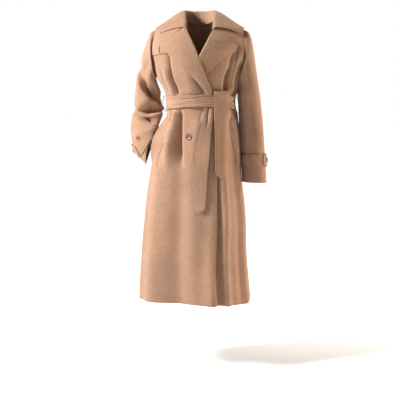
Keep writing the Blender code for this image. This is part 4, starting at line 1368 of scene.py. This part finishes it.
ON_CLOTH = WALL / 2 + 0.0006
turn, v = place(-.0445, -.479)
button("front_button", ["front_button"], on_form(turn, v, front_lift(turn, v) + ON_CLOTH),
       outward(turn, v), 0.0135)
CUFF_BUTTONS = (
    # name, nodes, way, row, angle, layers under it, radius
    ("cuff_button_left", ["cuff_button_left"], 1, 9.98, 22.0, 2.1, 0.0105),
    ("cuff_button_right", ["cuff_button_right"], -1, 10.48, 22.0, 2.1, 0.0105),
    ("cuff_button_spare", [], -1, 9.95, 76.0, 0, 0.0100),
)
for name, nodes, way, row, angle, layers, radius in CUFF_BUTTONS:
    spot = on_sleeve(way, row, angle, layers * LAYER + ON_CLOTH)
    button(name, nodes, spot, on_sleeve(way, row, angle, 0.05) - spot, radius)
print("buttons:", 1 + len(CUFF_BUTTONS))

# %% [markdown]
# ## Buttonhole of the storm flap
#
# The flap's free corner has a worked buttonhole: a narrow slit with close stitches round it,
# which all lean away from it. A flat dark sheet in the slit is painted shadow in the opening.

# %% Buttonhole of the storm flap
def buttonhole(x, low, high):
    """A worked slit: close stitches round a narrow opening, whose shade is painted as a flat dark sheet."""
    slit, edge = bmesh.new(), bmesh.new()
    middle, half = (low + high) / 2, (high - low) / 2

    def stand(px, pz, raised):
        turn, v = place(px, pz, 0)
        spot = on_form(turn, v, front_lift(turn, v) + LAYER + WALL / 2 + 0.0009 + raised, 0)
        return Vector(spot), Vector(outward(turn, v, 0))

    for angle in np.linspace(0, 2 * math.pi, 64, endpoint=False):
        across, along = math.sin(angle), math.cos(angle)
        spot, out = stand(x + 0.0017 * across, middle + half * np.sign(along) * abs(along) ** 0.6, 0.0002)
        lean = Vector((across, 0, 0.25 * along))
        way = (lean - out * lean.dot(out)).normalized()
        bead(edge, spot, way, out, (0.0013, 0.00042, 0.0005))
    # painted shadow: a flat dark sheet of the grey material stands for the shade inside the slit
    spot, out = stand(x, middle, 0.0)
    bmesh.ops.create_uvsphere(slit, u_segments=16, v_segments=8, radius=1,
                              matrix=lying(spot, (0, 0, 1), out, (half * 0.96, 0.0011, 0.0004)))
    keep(edge, "flap_buttonhole_stitches", SEWING, "camel_wool")
    keep(slit, "flap_buttonhole_slit_shadow", GREY, "grey_thread")


buttonhole(-.158, -.140, -.116)
print("buttonhole: 1")

# %% [markdown]
# ## Say what each sheet is
#
# A sheet of cloth keeps the size it was cut to. Each sewn piece is listed with the size of the
# rectangle it is cut from, its area within it, and how it is held, and printed beside its sewn area.

# %% Cut sizes
CUTS = {
    # node: (width, length, cut area within it, held, rests on)
    "back": (0.62, 1.22, 0.645, "hung", ["front_right", "front_left"]),
    "front_right": (0.42, 1.22, 0.405, "hung", ["back"]),
    "front_left": (0.42, 1.22, 0.405, "hung", ["back"]),
    "lapel_right": (0.15, 0.33, 0.026, "folded", ["front_right"]),
    "lapel_left": (0.15, 0.33, 0.026, "folded", ["front_left"]),
    "collar": (0.58, 0.20, 0.103, "folded", ["back"]),
    "storm_flap": (0.13, 0.17, 0.0195, "hung", ["front_right"]),
    "sleeve_left": (0.42, 0.70, 0.205, "hung", ["front_left"]),
    "sleeve_right": (0.42, 0.70, 0.205, "hung", ["front_right"]),
    "cuff_strap_left": (0.36, 0.07, 0.0240, "folded", ["sleeve_left"]),
    "cuff_strap_right": (0.36, 0.07, 0.0240, "folded", ["sleeve_right"]),
    "pocket_welt_right": (0.09, 0.21, 0.0160, "hung", ["front_right"]),
    "pocket_welt_left": (0.09, 0.21, 0.0160, "hung", ["front_left"]),
    "belt_band": (0.90, 0.06, 0.0490, "gathered", ["front_right", "front_left", "back"]),
    "belt_tail_over": (0.06, 0.50, 0.0295, "hung", ["belt_band"]),
    "belt_tail_under": (0.06, 0.46, 0.0250, "hung", ["belt_band"]),
}
for node, (width, long, area, held, under) in CUTS.items():
    print(f"{node}: cut {width} x {long} m, area {area}, sewn {areas[node]:.4f} m2")
